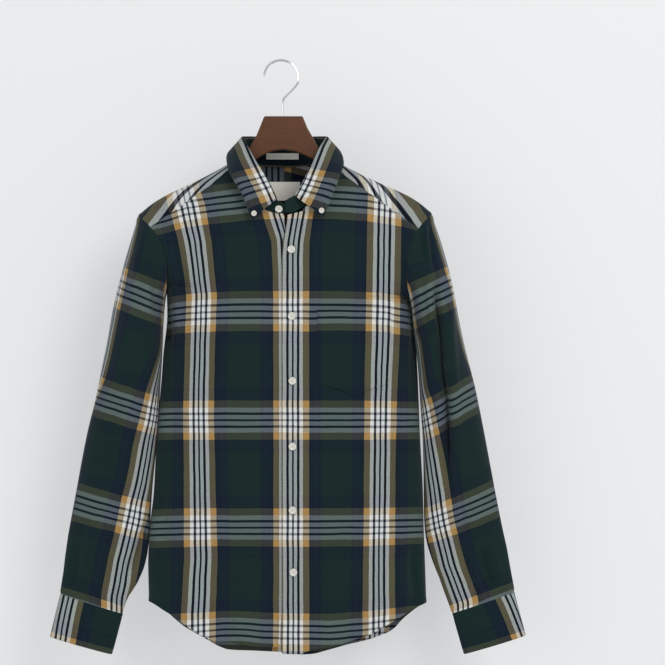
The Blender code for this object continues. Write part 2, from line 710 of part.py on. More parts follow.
def placket_grid(columns, lift):
    """A strip over the front edge, in the left front's own surface."""
    rows = []
    zs = list(np.linspace(-928, -378, 14)) + list(np.linspace(-350, -243, 8))
    for i, z in enumerate(zs):
        row = []
        for t in np.linspace(0, 1, columns):
            x0 = float(smooth(PLACKET_EDGE, "z", "x", z))
            x = x0 + (PLACKET_SEAM - GAP / 2 - x0) * t
            front = float(torso("front", min(z, -375.0)))
            w = ease((z + 375.0) / (375.0 - 238.0))
            y = -front * (1 - w) - 57.0 * w
            top = z + (6.0 * t if i == len(zs) - 1 else 0.0)
            bottom = (float(smooth(HEM_LEFT_FRONT, "x", "z", x)) if i == 0 else top)
            row.append([x, y - lift, bottom])
        rows.append(row)
    return np.array(rows)


def disc(name, centre, facing, radius, thick, colour):
    """A turned button: a rim, a shallow dish and a flat back, facing outward."""
    profile = [(0.0, 0.55), (0.55, 0.55), (0.70, 0.85), (0.84, 1.0), (1.0, 0.75), (1.0, 0.3), (0.88, 0.0), (0.0, 0.0)]
    facing = np.asarray(facing, float)
    facing = facing / np.linalg.norm(facing)
    side = np.cross(facing, [0, 0, 1.0])
    side /= np.linalg.norm(side)
    up = np.cross(side, facing)
    count = 16
    points, faces = [], []
    points.append(centre + facing * thick * profile[0][1])
    for r, h in profile[1:-1]:
        for k in range(count):
            a = 2 * math.pi * k / count
            points.append(centre + (side * math.cos(a) + up * math.sin(a)) * r * radius + facing * thick * h)
    points.append(np.array(centre, float))
    rings = len(profile) - 2
    for k in range(count):
        n = (k + 1) % count
        faces.append((0, 1 + k, 1 + n))
        for r in range(rings - 1):
            a, b = 1 + r * count + k, 1 + r * count + n
            faces.append((a, a + count, b + count, b))
        faces.append((len(points) - 1, 1 + (rings - 1) * count + n, 1 + (rings - 1) * count + k))
    return add_mesh(name, points, faces, colour, 0.35)


def extrude_outline(name, outline, y0, y1, colour, roughness):
    """A flat plate cut to an outline, with its arrises eased by a bevel."""
    n = len(outline)
    mid = (y0 + y1) / 2
    points = [np.array([x, y0, z]) for x, z in outline] + [np.array([x, y1, z]) for x, z in outline]
    faces = [tuple(range(n)), tuple(range(2 * n - 1, n - 1, -1))]
    for k in range(n):
        j = (k + 1) % n
        faces.append((k, n + k, n + j, j))
    obj = add_mesh(name, points, faces, colour, roughness, smooth_shade=False)
    bevel = obj.modifiers.new("Eased", "BEVEL")
    bevel.width = 2.2 * MM
    bevel.segments = 2
    bevel.limit_method = "ANGLE"
    bevel.angle_limit = math.radians(60)
    return obj


def clear_scene():
    for obj in list(bpy.data.objects):
        bpy.data.objects.remove(obj, do_unlink=True)


def build():
    clear_scene()
    made = {}
    for side in ("right", "left"):
        made["front_" + side] = build_front(side)

    # placket over the front edge
    strip = placket_grid(4, 0.0)
    away = np.zeros_like(strip)
    away[..., 1] = -1
    n = skin_normals(strip, False, away)
    shell("placket", strip, strip - n * TRIM_WALL, False, (0.30, 0.30, 0.27))

    # back
    grid = back_panel(19, 4, 8, 7)
    away = np.zeros_like(grid)
    away[..., 1] = 1
    n = skin_normals(grid, False, away)
    rows = grid.shape[0]
    for j, side in ((0, "right"), (-1, "left")):
        d = np.array([SIDES[side]["sign"], 0.15, 0.0])
        n[:rows - 8, j] = d / np.linalg.norm(d)
        arms = resample([armhole(side, t) for t in np.linspace(180, 360 - ARM_BACK, 60)], 8)
        for k in range(8):
            best = min(np.linspace(180, 360 - ARM_BACK, 127), key=lambda t: np.linalg.norm(armhole(side, t) - arms[k]))
            n[rows - 8 + k, j] = seam_facing(side, best, "body")
    grid = pull_in(grid, n, GAP, ["row_last", "col_first", "col_last"])
    shell("back", grid, grid - n * WALL, False, FLANNEL)

    # yoke
    arm_cells, back_cells, across = 8, 12, 6
    grid = yoke_grid(arm_cells, back_cells, across)
    away = np.zeros_like(grid)
    away[..., 2] = 1
    away[..., 1] = np.where(grid[..., 1] > 0, 0.6, -0.6)
    n = skin_normals(grid, False, away)
    turns = np.concatenate([np.linspace(ARM_FRONT, 0, arm_cells // 2 + 1), np.linspace(0, -ARM_BACK, arm_cells - arm_cells // 2 + 1)[1:]])
    for k, t in enumerate(turns):
        for side, i in (("right", k), ("left", grid.shape[0] - 1 - k)):
            n[i, -1] = seam_facing(side, t)
    n[0, :] = yoke_seam_facing("right", across + 1)[::-1]
    n[-1, :] = yoke_seam_facing("left", across + 1)[::-1]
    n[arm_cells + 1:-arm_cells - 1, -1] = np.array([0.0, 1.0, 0.0])
    grid = pull_in(grid, n, GAP, ["row_first", "row_last", "col_last"])
    shell("yoke", grid, grid - n * WALL, False, (0.09, 0.10, 0.08))

    # sleeves and cuffs
    for side in ("right", "left"):
        grid = sleeve_grid(side, 20)
        centre = grid.mean(axis=1, keepdims=True)
        n = skin_normals(grid, True, grid - centre)
        for k in range(20):
            f = seam_facing(side, 360.0 * k / 20, "sleeve")
            n[0, k] = f
        grid = pull_in(grid, n, GAP, ["row_first", "row_last"], True)
        shell("sleeve_" + side, grid, grid - n * WALL, True, (0.05, 0.07, 0.065) if side == "left" else (0.045, 0.065, 0.06))
        grid = cuff_grid(side, 20, 3)
        centre = grid.mean(axis=1, keepdims=True)
        n = skin_normals(grid, True, grid - centre)
        shell("cuff_" + side, grid, grid - n * WALL, True, (0.07, 0.085, 0.07))

    # collar stand: a band round the neck, with its two ends in front
    half = 13
    base = neck_base(half)
    top = round_neck(collar_line("right", "f", half), collar_line("left", "f", half))
    lift = np.array([0, 0, 1.3])
    grid = []
    for r in STAND_END_RIGHT:
        b, t = np.array([r["bx"], r["by"], r["bz"]]), np.array([r["tx"], r["ty"], r["tz"]])
        grid.append([b + lift, (b + t) / 2, t])
    for b, t in zip(base, top):
        d = np.array([0.0, 0.0, -1.2])
        inward = np.array([4.0 - b[0], -4.0 - b[1], 0.0])
        inward *= 1.2 / np.linalg.norm(inward)
        grid.append([b + lift + inward, (b + t) / 2, t + d])
    for r in STAND_END_LEFT[::-1]:
        b, t = np.array([r["bx"], r["by"], r["bz"]]), np.array([r["tx"], r["ty"], r["tz"]])
        grid.append([b + lift, (b + t) / 2, t])
    grid = np.array(grid)
    away = grid - np.array([4.0, -4.0, 0.0])
    away[..., 2] = 0
    n = skin_normals(grid, False, away)
    shell("collar_stand", grid, grid - n * WALL, False, (0.12, 0.12, 0.10))

    # collar leaf: rolls over the stand's top and falls outside it
    fold = top
    edge = round_neck(collar_line("right", "e", half), collar_line("left", "e", half))
    grid = []
    for f, e in zip(fold, edge):
        out = np.array([f[0] - 4.0, f[1] + 4.0, 0.0])
        out /= np.linalg.norm(out)
        down = e - f
        roll = [f + out * 0.6 + np.array([0, 0, 2.4]), f + out * 4.2 + np.array([0, 0, 1.4])]
        row = roll + [f + out * 4.6 + down * t + out * 3.0 * math.sin(math.pi * t) for t in (0.2, 0.5, 0.78)] + [e]
        grid.append(row)
    grid = np.array(grid)
    away = np.zeros_like(grid)
    away[:] = (grid[:, 2:3] - np.array([4.0, -4.0, 0.0]))
    away[..., 2] = 0
    n = skin_normals(grid, False, away)
    n[:, 0] = np.array([0, 0, 1.0]) * 0.9 + n[:, 0] * 0.1
    n[:, 0] /= np.linalg.norm(n[:, 0], axis=1, keepdims=True)
    shell("collar_leaf", grid, grid - n * WALL, False, (0.14, 0.13, 0.10))

    # pocket: made from the left front's own points, moved out
    front, normals = made["front_left"][1], made["front_left"][2]

    def on_front(x, z):
        """Point and facing of the left front under a place seen from the front."""
        flat = front.reshape(-1, 3)
        fn = normals.reshape(-1, 3)
        d = (flat[:, 0] - x) ** 2 + (flat[:, 2] - z) ** 2
        order = np.argsort(d)[:6]
        w = 1 / (d[order] + 4.0)
        w /= w.sum()
        return (flat[order] * w[:, None]).sum(axis=0), (fn[order] * w[:, None]).sum(axis=0)

    def front_depth(x, z):
        """Depth of the left front, from its own cells."""
        rows, cols = front.shape[:2]
        for i in range(rows - 1):
            for j in range(cols - 1):
                q = [front[i, j], front[i, j + 1], front[i + 1, j + 1], front[i + 1, j]]
                for a, b, c in ((q[0], q[1], q[2]), (q[0], q[2], q[3])):
                    det = (b[2] - c[2]) * (a[0] - c[0]) + (c[0] - b[0]) * (a[2] - c[2])
                    if abs(det) < 1e-9:
                        continue
                    l1 = ((b[2] - c[2]) * (x - c[0]) + (c[0] - b[0]) * (z - c[2])) / det
                    l2 = ((c[2] - a[2]) * (x - c[0]) + (a[0] - c[0]) * (z - c[2])) / det
                    l3 = 1 - l1 - l2
                    if min(l1, l2, l3) >= -1e-6:
                        return l1 * a[1] + l2 * b[1] + l3 * c[1]
        return None

    rows = []
    for j in range(7):
        row = []
        for i in range(9):
            t = i / 8
            x = POCKET["x0"] + (POCKET["x1"] - POCKET["x0"]) * t
            low = POCKET["side"] + (POCKET["point"] - POCKET["side"]) * (1 - abs(2 * t - 1))
            z = low + (POCKET["top"] - low) * j / 6
            row.append([x, front_depth(x, z), z])
        rows.append(row)
    rows = np.array(rows)
    away = np.zeros_like(rows)
    away[..., 1] = -1
    n = skin_normals(rows, False, away)
    inner = rows + n * (GAP + 0.35)
    shell("pocket", rows + n * (GAP + 0.35 + TRIM_WALL), inner, False, (0.05, 0.08, 0.07))

    # buttons
    cream = (0.75, 0.72, 0.65)
    for b in BUTTONS:
        z = b["z"]
        front_y = float(torso("front", min(z, -375.0)))
        w = ease((z + 375.0) / (375.0 - 238.0))
        y = -front_y * (1 - w) - 57.0 * w
        disc(b["name"], np.array([b["x"], y - 0.9, z]), (0, -1, 0), b["radius"], 2.6, cream)
    disc("button_stand", np.array([-3.2, -64.4, -233.6]), (-0.1, -1, -0.6), 5.8, 2.4, cream)
    disc("button_collar_right", np.array([-41.5, -72.0, -241.5]), (-0.13, -1, 0.0), 4.3, 2.2, cream)
    disc("button_collar_left", np.array([63.0, -72.0, -237.0]), (0.13, -1, 0.0), 4.3, 2.2, cream)

    # labels inside the yoke and the stand
    def plate(name, x0, x1, z0, z1, y, thick, colour):
        xs, zs = np.linspace(x0, x1, 4), np.linspace(z0, z1, 3)
        g = np.array([[[x, y, z] for x in xs] for z in zs])
        o = g.copy()
        o[..., 1] += thick
        shell(name, g, o, False, colour)

    plate("label_neck", -23, 28, -215, -185, 43.0, 1.0, (0.55, 0.52, 0.45))
    plate("label_size", -26, 26, -149.5, -139.5, 37.0, 1.0, (0.55, 0.52, 0.45))

    # hanger
    outline = [(r["x"], r["z"]) for r in HANGER_TOP_RIGHT] + [(r["x"], r["z"]) for r in HANGER_UNDER_RIGHT]
    outline += [(1.5, -136.9)]
    outline += [(r["x"], r["z"]) for r in HANGER_UNDER_LEFT[::-1]] + [(r["x"], r["z"]) for r in HANGER_TOP_LEFT[::-1]]
    extrude_outline("hanger_wood", outline, -HANGER_THICK / 2, HANGER_THICK / 2, (0.16, 0.075, 0.045), 0.45)
    centre = np.array([-1.5, -21.7])
    r = 26.7
    route = []
    for a in np.linspace(176, 0, 17):
        route.append([centre[0] + r * math.cos(math.radians(a)), 0.0, centre[1] + r * math.sin(math.radians(a))])
    route += [[row["x"], 0.0, row["z"]] for row in HOOK_BEND[1:]] + [[1.1, 0.0, -84.2 + GAP]]
    line = spline(route, 60)
    curve = bpy.data.curves.new("hanger_hook", "CURVE")
    curve.dimensions = "3D"
    sp = curve.splines.new("POLY")
    sp.points.add(len(line) - 1)
    for k, p in enumerate(line):
        q = (p - DATUM) * MM
        sp.points[k].co = (q[0], q[1], q[2], 1)
    curve.bevel_depth = WIRE * MM
    curve.bevel_resolution = 3
    curve.use_fill_caps = True
    hook = bpy.data.objects.new("hanger_hook", curve)
    curve.materials.append(material("hanger_hook_stuff", (0.75, 0.76, 0.78), 0.15, 1.0))
    bpy.context.scene.collection.objects.link(hook)


build()
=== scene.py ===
# Looks for the flannel shirt on its hanger: finer cloth laid on the same forms
# as the part, with creases, hems, stitching, a woven plaid and soft light.
import math

import bpy
import numpy as np
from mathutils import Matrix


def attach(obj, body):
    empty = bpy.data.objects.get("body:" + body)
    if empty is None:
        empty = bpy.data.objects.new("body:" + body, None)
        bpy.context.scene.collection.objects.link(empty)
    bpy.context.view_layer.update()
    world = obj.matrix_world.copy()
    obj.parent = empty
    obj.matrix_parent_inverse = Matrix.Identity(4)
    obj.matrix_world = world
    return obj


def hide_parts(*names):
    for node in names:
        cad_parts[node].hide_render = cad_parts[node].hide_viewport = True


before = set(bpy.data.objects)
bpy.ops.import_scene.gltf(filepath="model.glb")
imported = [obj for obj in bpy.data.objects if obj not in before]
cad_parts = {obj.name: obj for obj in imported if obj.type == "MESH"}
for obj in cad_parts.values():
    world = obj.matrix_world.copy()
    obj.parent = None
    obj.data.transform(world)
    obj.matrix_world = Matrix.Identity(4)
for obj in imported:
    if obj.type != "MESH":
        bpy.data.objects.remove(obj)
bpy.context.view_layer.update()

MM = 0.001
WALL = 1.6          # cloth wall
TRIM_WALL = 1.4     # pocket and placket wall
GAP = 0.3           # clearance between neighbouring pieces
DATUM = np.array([-1.5, 0.0, 3.2])   # where the hook rests, in the tables' own frame


def table(columns, rows):
    names = columns.split()
    return [dict(zip(names, row)) for row in rows]


def column(rows, name):
    return [row[name] for row in rows]


# ---------------------------------------------------------------- size tables
# Torso sections: half widths to each side edge, and how far the front and the
# back stand from the side seam, by height.
TORSO = table("z left right front back", [
    (-930, -210, 229, 46, 40),
    (-856, -210, 228, 47, 42),
    (-790, -211, 226, 49, 43),
    (-731, -208, 224, 50, 44),
    (-685, -203, 223, 52, 45),
    (-584, -197, 218, 55, 47),
    (-500, -190, 215, 58, 49),
    (-449, -186, 212, 60, 50),
    (-400, -181, 206, 61, 51),
    (-359, -182, 204, 61, 51),
])
# Front hem height by distance from the middle (the wearer's right front, then
# the left front, which hangs a little lower).
HEM_RIGHT_FRONT = table("x z", [
    (-215, -850), (-206, -852), (-186, -863), (-152, -884), (-118, -903),
    (-99, -909), (-75, -911), (-40, -916.5), (4, -918), (40, -918),
])
HEM_LEFT_FRONT = table("x z", [
    (0, -928), (18, -929), (30, -929), (42, -924), (77, -918), (113, -907),
    (138, -899), (157, -888.5), (172, -880.5), (186, -872), (205, -861), (232, -850),
])
HEM_BACK = table("x z", [
    (-216, -850), (-206, -855), (-158, -896), (-125, -916), (-108, -926), (-90, -933),
    (-45, -935.5), (0, -938), (27, -942), (45, -941), (69, -935), (104, -925),
    (136, -917), (158, -909), (174, -901), (190, -884), (208, -868), (232, -850),
])
# Sleeve rings from the armhole to the cuff: outer and inner edge, half depths
# to the front and the back, and how far the ring bows toward the neck.
SLEEVE_RIGHT = table("ox oz ix iz front back bow", [
    (-228, -242.5, -182, -359, 50, 50, 22),
    (-238, -276, -184.5, -372, 57, 54, 13),
    (-248, -311, -187, -388, 61, 58, 7),
    (-258, -351, -189.5, -412, 62, 60, 3),
    (-267, -389, -191, -437, 61, 60, 0),
    (-276, -438, -193.5, -472, 57, 57, 0),
    (-286, -485, -196.5, -511, 51, 52, 0),
    (-296, -535, -199, -553, 44, 45, 0),
    (-307, -584, -202, -598, 38, 38, 0),
    (-322, -664, -209, -676, 30, 29, 0),
    (-333.5, -721, -213, -729, 25, 24, 0),
    (-339, -750, -217, -763, 22, 21, 0),
    (-343, -777, -223, -791, 19, 18, 0),
    (-346, -803, -234, -821, 15, 14, 0),
    (-349, -827, -247, -853, 12, 12, 0),
    (-350.3, -839.5, -252, -871, 10.5, 10.5, 0),
])
SLEEVE_LEFT = table("ox oz ix iz front back bow", [
    (238, -239.5, 204, -375, 50, 50, 25),
    (251, -279, 206.5, -387, 57, 54, 14),
    (262, -319, 209, -404, 61, 58, 7),
    (270, -354, 212, -424, 62, 60, 3),
    (277, -386, 215, -446, 60, 59, 0),
    (286, -430, 218.5, -478, 56, 56, 0),
    (295, -468, 220.5, -510, 50, 51, 0),
    (305, -508, 222.5, -546, 44, 45, 0),
    (317, -568, 226.5, -600, 37, 37, 0),
    (333.6, -652, 229, -686, 29, 28, 0),
    (344, -706, 231, -736, 24, 23, 0),
    (350, -737, 236, -766, 21, 20, 0),
    (356.5, -768, 243.5, -795, 18, 17, 0),
    (361, -795, 252, -823, 15, 14, 0),
    (365.5, -822, 264, -856, 12, 12, 0),
    (367.5, -836.7, 269.5, -870.5, 10.5, 10.5, 0),
])
# Cuffs: the lower edge of each flat tube.
CUFF_EDGE = table("side ox oz ix iz", [
    ("right", -366.8, -908, -269.2, -935.7),
    ("left", 386, -905.7, 288.5, -935.3),
])
# Neckline, by turn round the neck from the front middle: point and depth.
NECK_RIGHT = table("turn x y z", [
    (0, 1, -57, -241), (20, -19, -56, -238), (40, -38, -49, -221), (60, -54, -36, -197),
    (78, -65, -19, -161.5), (100, -68, 4, -149.5), (125, -57, 27, -153), (155, -28, 43, -158), (180, 2.5, 46, -159),
])
NECK_LEFT = table("turn x y z", [
    (0, 8, -57, -242), (20, 30, -56, -236), (40, 49, -49, -219), (60, 64, -36, -195),
    (78, 73.5, -19, -160.5), (100, 76, 4, -148.5), (125, 64, 27, -152.5), (155, 33, 43, -158), (180, 2.5, 46, -159),
])
YOKE_TURN = 78      # where the front yoke seam meets the neckline
ARM_FRONT = 54      # where the front yoke seam meets the armhole, degrees round it
ARM_BACK = 66       # where the back yoke seam meets it
# Rise of the shoulder's ridge over the straight line from neck to shoulder tip.
SHOULDER_CROWN = 7.0
# Collar, from the front end round to the middle of the back: the fold on top of
# the stand, and the leaf's outer edge.
COLLAR_RIGHT = table("turn fx fy fz ex ey ez", [
    (14, -6, -61, -219.5, -44, -66, -251),
    (28, -11.5, -60, -208.5, -52, -66, -234),
    (42, -20.5, -55.5, -191, -62, -61, -209),
    (58, -39, -43, -161, -77.5, -48, -184),
    (75, -52.5, -25, -136.5, -85, -25, -166),
    (95, -60.5, -2, -120.5, -86, 1, -149),
    (120, -55, 24, -116.5, -73, 33, -148),
    (150, -30, 42, -115.5, -40, 54, -152),
    (180, 4, 48, -115.5, 4, 60, -154),
])
COLLAR_LEFT = table("turn fx fy fz ex ey ez", [
    (14, 21.5, -61, -215.5, 66, -66, -248),
    (28, 28.5, -60, -204, 74, -66, -228),
    (42, 36, -55.5, -189, 83, -61, -206),
    (58, 48.5, -43, -163, 93, -48, -178),
    (75, 59.5, -25, -137.5, 98, -25, -161),
    (95, 69, -2, -120.5, 93, 2, -147),
    (120, 63, 24, -116.5, 81, 33, -147),
    (150, 37, 42, -115.5, 47, 54, -152),
    (180, 4, 48, -115.5, 4, 60, -154),
])
# Front ends of the stand past the fold: base and top of the band.
STAND_END_RIGHT = table("bx by bz tx ty tz", [
    (2, -58.2, -238.5, 7, -59.8, -231), (-7, -58.2, -239.5, 1, -60.6, -224),
])
STAND_END_LEFT = table("bx by bz tx ty tz", [
    (5.5, -61.8, -240, 6, -62.8, -221.5), (13, -61.3, -240.5, 14.5, -62.8, -216.5), (22, -60, -239, 18, -62.5, -215),
])
# Placket: the edge on top by height; its sewn side is straight.
PLACKET_EDGE = table("z x", [
    (-928, 1.5), (-313, 1.5), (-284, 3.3), (-264, 7.5), (-241, 10.2),
])
PLACKET_SEAM = 34.0
UNDER_EDGE = table("z x", [(-918, -3.0), (-900, -2.2), (-866, 0.5), (-846, 8.0), (-820, 28.0), (-316, 28.0), (-290, 17.0), (-266, 6.5), (-243, 3.8)])
UNDER_STEP = 3.2    # how far the under front lies behind the placket
POCKET = table("x0 x1 top side point", [(56.7, 171.0, -389.5, -505.0, -523.5)])[0]
BUTTONS = table("name x z radius", [
    ("button_1", 16.0, -296.7, 6.0), ("button_2", 16.8, -400.6, 6.0), ("button_3", 17.7, -501.5, 6.0),
    ("button_4", 17.7, -603.9, 6.0), ("button_5", 17.7, -703.6, 6.0), ("button_6", 19.1, -800.7, 6.0),
])
# Hanger outline, half by half: the neck plate's sides and the tops and
# undersides of the arms.
HANGER_TOP_RIGHT = table("x z", [
    (-27, -84.2), (-28.6, -86), (-35.4, -103), (-41.4, -117.6), (-48.5, -128), (-55, -139), (-58.5, -151), (-63, -161), (-72, -165.5),
    (-98, -176), (-135.6, -196), (-163, -211), (-185, -225), (-203, -236), (-209, -246),
])
HANGER_UNDER_RIGHT = table("x z", [
    (-203, -250), (-185, -244), (-150, -228), (-105, -203), (-72, -180), (-58, -166), (-44, -154.5), (-31.4, -146.5), (-18.8, -140.5),
])
HANGER_TOP_LEFT = table("x z", [
    (32, -84.2), (33.7, -86), (40.5, -103), (49.1, -117.6), (55, -128), (61, -139), (66, -151), (71, -160.5), (80, -165),
    (98, -172.5), (139, -195), (161.5, -207), (181, -220), (206, -234), (213, -244),
])
HANGER_UNDER_LEFT = table("x z", [
    (207, -250), (190, -243), (155, -226), (110, -202), (80, -180), (65, -165), (51.8, -153.7), (38.2, -147), (22.4, -140.3),
])
HANGER_THICK = 12.0
WIRE = 1.8
HOOK_BEND = table("x z", [(26.2, -21), (25.6, -30), (21.5, -37), (17, -42), (10, -49), (4, -55), (1.5, -61), (1.1, -70)])


# ------------------------------------------------------------- curve functions
def smooth(rows, key, name, value):
    """Monotone cubic through a table's column."""
    xs = np.array(column(rows, key), float)
    ys = np.array(column(rows, name), float)
    if xs[0] > xs[-1]:
        xs, ys = xs[::-1], ys[::-1]
    h = np.diff(xs)
    d = np.diff(ys) / h
    m = np.zeros(len(xs))
    for i in range(1, len(xs) - 1):
        if d[i - 1] * d[i] > 0:
            w1, w2 = 2 * h[i] + h[i - 1], h[i] + 2 * h[i - 1]
            m[i] = (w1 + w2) / (w1 / d[i - 1] + w2 / d[i])
    m[0], m[-1] = d[0], d[-1]
    v = np.clip(value, xs[0], xs[-1])
    i = np.clip(np.searchsorted(xs, v) - 1, 0, len(h) - 1)
    t = (v - xs[i]) / h[i]
    return ((1 + 2 * t) * (1 - t) ** 2 * ys[i] + t * (1 - t) ** 2 * h[i] * m[i]
            + t * t * (3 - 2 * t) * ys[i + 1] + t * t * (t - 1) * h[i] * m[i + 1])


def ease(t):
    t = np.clip(t, 0.0, 1.0)
    return t * t * (3 - 2 * t)


def resample(points, count):
    """Equal steps along a line of points."""
    points = np.asarray(points, float)
    step = np.linalg.norm(np.diff(points, axis=0), axis=1)
    run = np.concatenate([[0.0], np.cumsum(step)])
    want = np.linspace(0, run[-1], count)
    return np.stack([np.interp(want, run, points[:, k]) for k in range(3)], axis=1)


def spline(points, count):
    """A smooth line through a few points, in equal steps."""
    p = np.asarray(points, float)
    p = np.vstack([2 * p[0] - p[1], p, 2 * p[-1] - p[-2]])
    out = []
    for i in range(1, len(p) - 2):
        for t in np.linspace(0, 1, 12, endpoint=False):
            out.append(0.5 * ((2 * p[i]) + (p[i + 1] - p[i - 1]) * t
                              + (2 * p[i - 1] - 5 * p[i] + 4 * p[i + 1] - p[i + 2]) * t ** 2
                              + (3 * p[i] - p[i - 1] - 3 * p[i + 1] + p[i + 2]) * t ** 3))
    out.append(p[-2])
    return resample(out, count)


# ------------------------------------------------------------------ the forms
SIDES = {"right": dict(sign=-1, edge="left", sleeve=SLEEVE_RIGHT, neck=NECK_RIGHT, collar=COLLAR_RIGHT, hem=HEM_RIGHT_FRONT),
         "left": dict(sign=1, edge="right", sleeve=SLEEVE_LEFT, neck=NECK_LEFT, collar=COLLAR_LEFT, hem=HEM_LEFT_FRONT)}


def torso(name, z):
    return smooth(TORSO, "z", name, z)


def ring_point(row, sign, turn):
    """A point on a sleeve ring: 0 is the outer edge, 90 the front, 180 the inner edge."""
    a = math.radians(turn)
    outer = np.array([row["ox"], 0.0, row["oz"]])
    inner = np.array([row["ix"], 0.0, row["iz"]])
    chord = inner - outer
    along = chord / np.linalg.norm(chord)
    across = np.array([-along[2], 0.0, along[0]]) * (-1 if sign < 0 else 1)
    if across[0] * sign > 0:
        across = -across
    s = math.sin(a)
    depth = row["front"] if s > 0 else row["back"]
    spread = abs(s) ** 0.9 * (1 if s > 0 else -1)
    return outer + chord * (1 - math.cos(a)) / 2 + across * row["bow"] * s * s + np.array([0.0, -depth * spread, 0.0])


def armhole(side, turn, neckward=0.4):
    """The armhole seam, drawn a little to the body's side of it or to the sleeve's."""
    row = SIDES[side]["sleeve"][0]
    sign = SIDES[side]["sign"]
    chord = np.array([row["ix"] - row["ox"], 0.0, row["iz"] - row["oz"]])
    chord /= np.linalg.norm(chord)
    toward = np.array([-sign * abs(chord[2]), 0.0, abs(chord[0])])
    return ring_point(row, sign, turn) + toward * neckward


def neck_point(side, turn):
    rows = SIDES[side]["neck"]
    return np.array([smooth(rows, "turn", k, turn) for k in "xyz"]).reshape(3)


def body_row(a, b, square, count, rise=0.0):
    """One row of a torso panel from the side a to the middle b, round at the side."""
    out = []
    for t in np.linspace(0, 1, 60):
        s = 1 - math.cos(t * math.pi / 2) ** (2 / max(square, 1.0)) if square > 1.01 else t
        y = a[1] + (b[1] - a[1]) * (1 - (1 - s) ** square) ** (1 / square)
        p = a + (b - a) * s
        p[1] = y - rise * math.sin(math.pi * s) * (1 if b[1] < 0 else -1)
        out.append(p)
    return resample(out, count)


def chest_row(a, b, wide, depth, q, count, rise):
    """A row above the armpit: q turns it from the chest's own round to a line from seam to seam."""
    out = []
    ts = np.linspace(0, 1, 60)
    sign = 1.0 if b[1] > 0 else -1.0
    for t in ts:
        s = (1 - math.cos(t * math.pi / 2)) ** 1.3
        p = a + (b - a) * s
        xi = min(1.0, abs(p[0]) / wide)
        full = sign * depth * (1 - xi ** 2.6) ** (1 / 2.6)
        full_a = sign * depth * (1 - min(1.0, abs(a[0]) / wide) ** 2.6) ** (1 / 2.6)
        full_b = sign * depth * (1 - min(1.0, abs(b[0]) / wide) ** 2.6) ** (1 / 2.6)
        round_y = full + (a[1] - full_a) * (1 - s) ** 5 + (b[1] - full_b) * s ** 2
        line_y = a[1] + (b[1] - a[1]) * s
        p[1] = round_y * (1 - q) + line_y * q + sign * rise * math.sin(math.pi * s)
        out.append(p)
    return resample(out, count)


def front_panel(side, columns, low_rows, mid_rows, edge_rows, neck_rows):
    """A front, hem to yoke seam: rows of points from the side or armhole to the front edge or neckline."""
    info = SIDES[side]
    sign = info["sign"]
    z_low, z_arm = -790.0, info["sleeve"][0]["iz"]
    edge_x = PLACKET_SEAM + sign * GAP / 2 if side == "left" else None
    grid = []

    def middle(z, hem_shift=0.0):
        x = edge_x if edge_x is not None else float(smooth(UNDER_EDGE, "z", "x", z))
        return np.array([x, -float(torso("front", max(z, z_arm if z > z_arm else z))), z])

    def line_to(a, b, count, above):
        if above is None:
            return body_row(a, b, 2.6, count)
        wide, q, rise = above
        return chest_row(a, b, wide, float(torso("front", z_arm)), q, count, rise)

    def to_edge(a, b, above=None):
        """A row that ends on the front edge; the under front steps back behind the placket."""
        if side == "left":
            return line_to(a, b, columns, above)
        seen = min(-6.0, b[0] - 8.0)
        mid = min(seen + 7.0, b[0] - 0.9)
        back = UNDER_STEP * float(ease((-250.0 - b[2]) / 30.0))
        row = line_to(a, np.array([seen, b[1], b[2] + (a[2] - b[2]) * 0.02]), columns - 2, above)
        return np.vstack([row, [[mid, b[1] + back, b[2]]], [[b[0], b[1] + back, b[2]]]])

    def base_row(z):
        a = np.array([float(torso(info["edge"], z)), 0.0, z])
        return to_edge(a, middle(z))

    low = base_row(z_low)
    for k in range(low_rows):
        t = k / low_rows
        row = []
        for c in range(columns):
            z_hem = float(smooth(info["hem"], "x", "z", low[c][0]))
            z = z_hem + (z_low - z_hem) * t
            row.append((z, c))
        row = [base_row(z)[c] for z, c in row]
        grid.append(row)
    for k in range(mid_rows):
        grid.append(base_row(z_low + (z_arm - z_low) * k / mid_rows))
    top_edge = []
    neck_start = neck_point(side, 0)
    start = middle(z_arm)
    if side == "left":
        first = neck_point(side, 22)
        first[0] = edge_x
        corner = first
        turn0 = 22
    else:
        corner = neck_start + np.array([2.8, 0, -1.5])
        turn0 = 0
    path = []
    for z in np.linspace(z_arm, corner[2], 30):
        m = middle(z)
        w = ease((z - z_arm) / (corner[2] - z_arm))
        m[1] = -float(torso("front", z_arm)) * (1 - w) + corner[1] * w
        path.append(m)
    path[-1] = corner
    edge = resample(path, edge_rows + 1)
    neck = resample([corner] + [neck_point(side, t) for t in np.linspace(turn0 + 4, YOKE_TURN, 24)], neck_rows + 1)
    inner = list(edge) + list(neck[1:])
    total = edge_rows + neck_rows
    arms = resample([armhole(side, t) for t in np.linspace(180, ARM_FRONT, 60)], total + 1)
    for k in range(total + 1):
        w = k / total
        above = (abs(float(torso(info["edge"], z_arm))) + 70.0 * float(ease(w / 0.35)), float(ease(w / 0.5)), 5.0 * float(ease(w / 0.4)) * (1 - w))
        if k == 0:
            grid.append(to_edge(arms[k], np.array(inner[k])))
        elif k <= edge_rows:
            grid.append(to_edge(arms[k], np.array(inner[k]), above))
        else:
            grid.append(line_to(arms[k], np.array(inner[k]), columns, above))
    return np.array(grid)


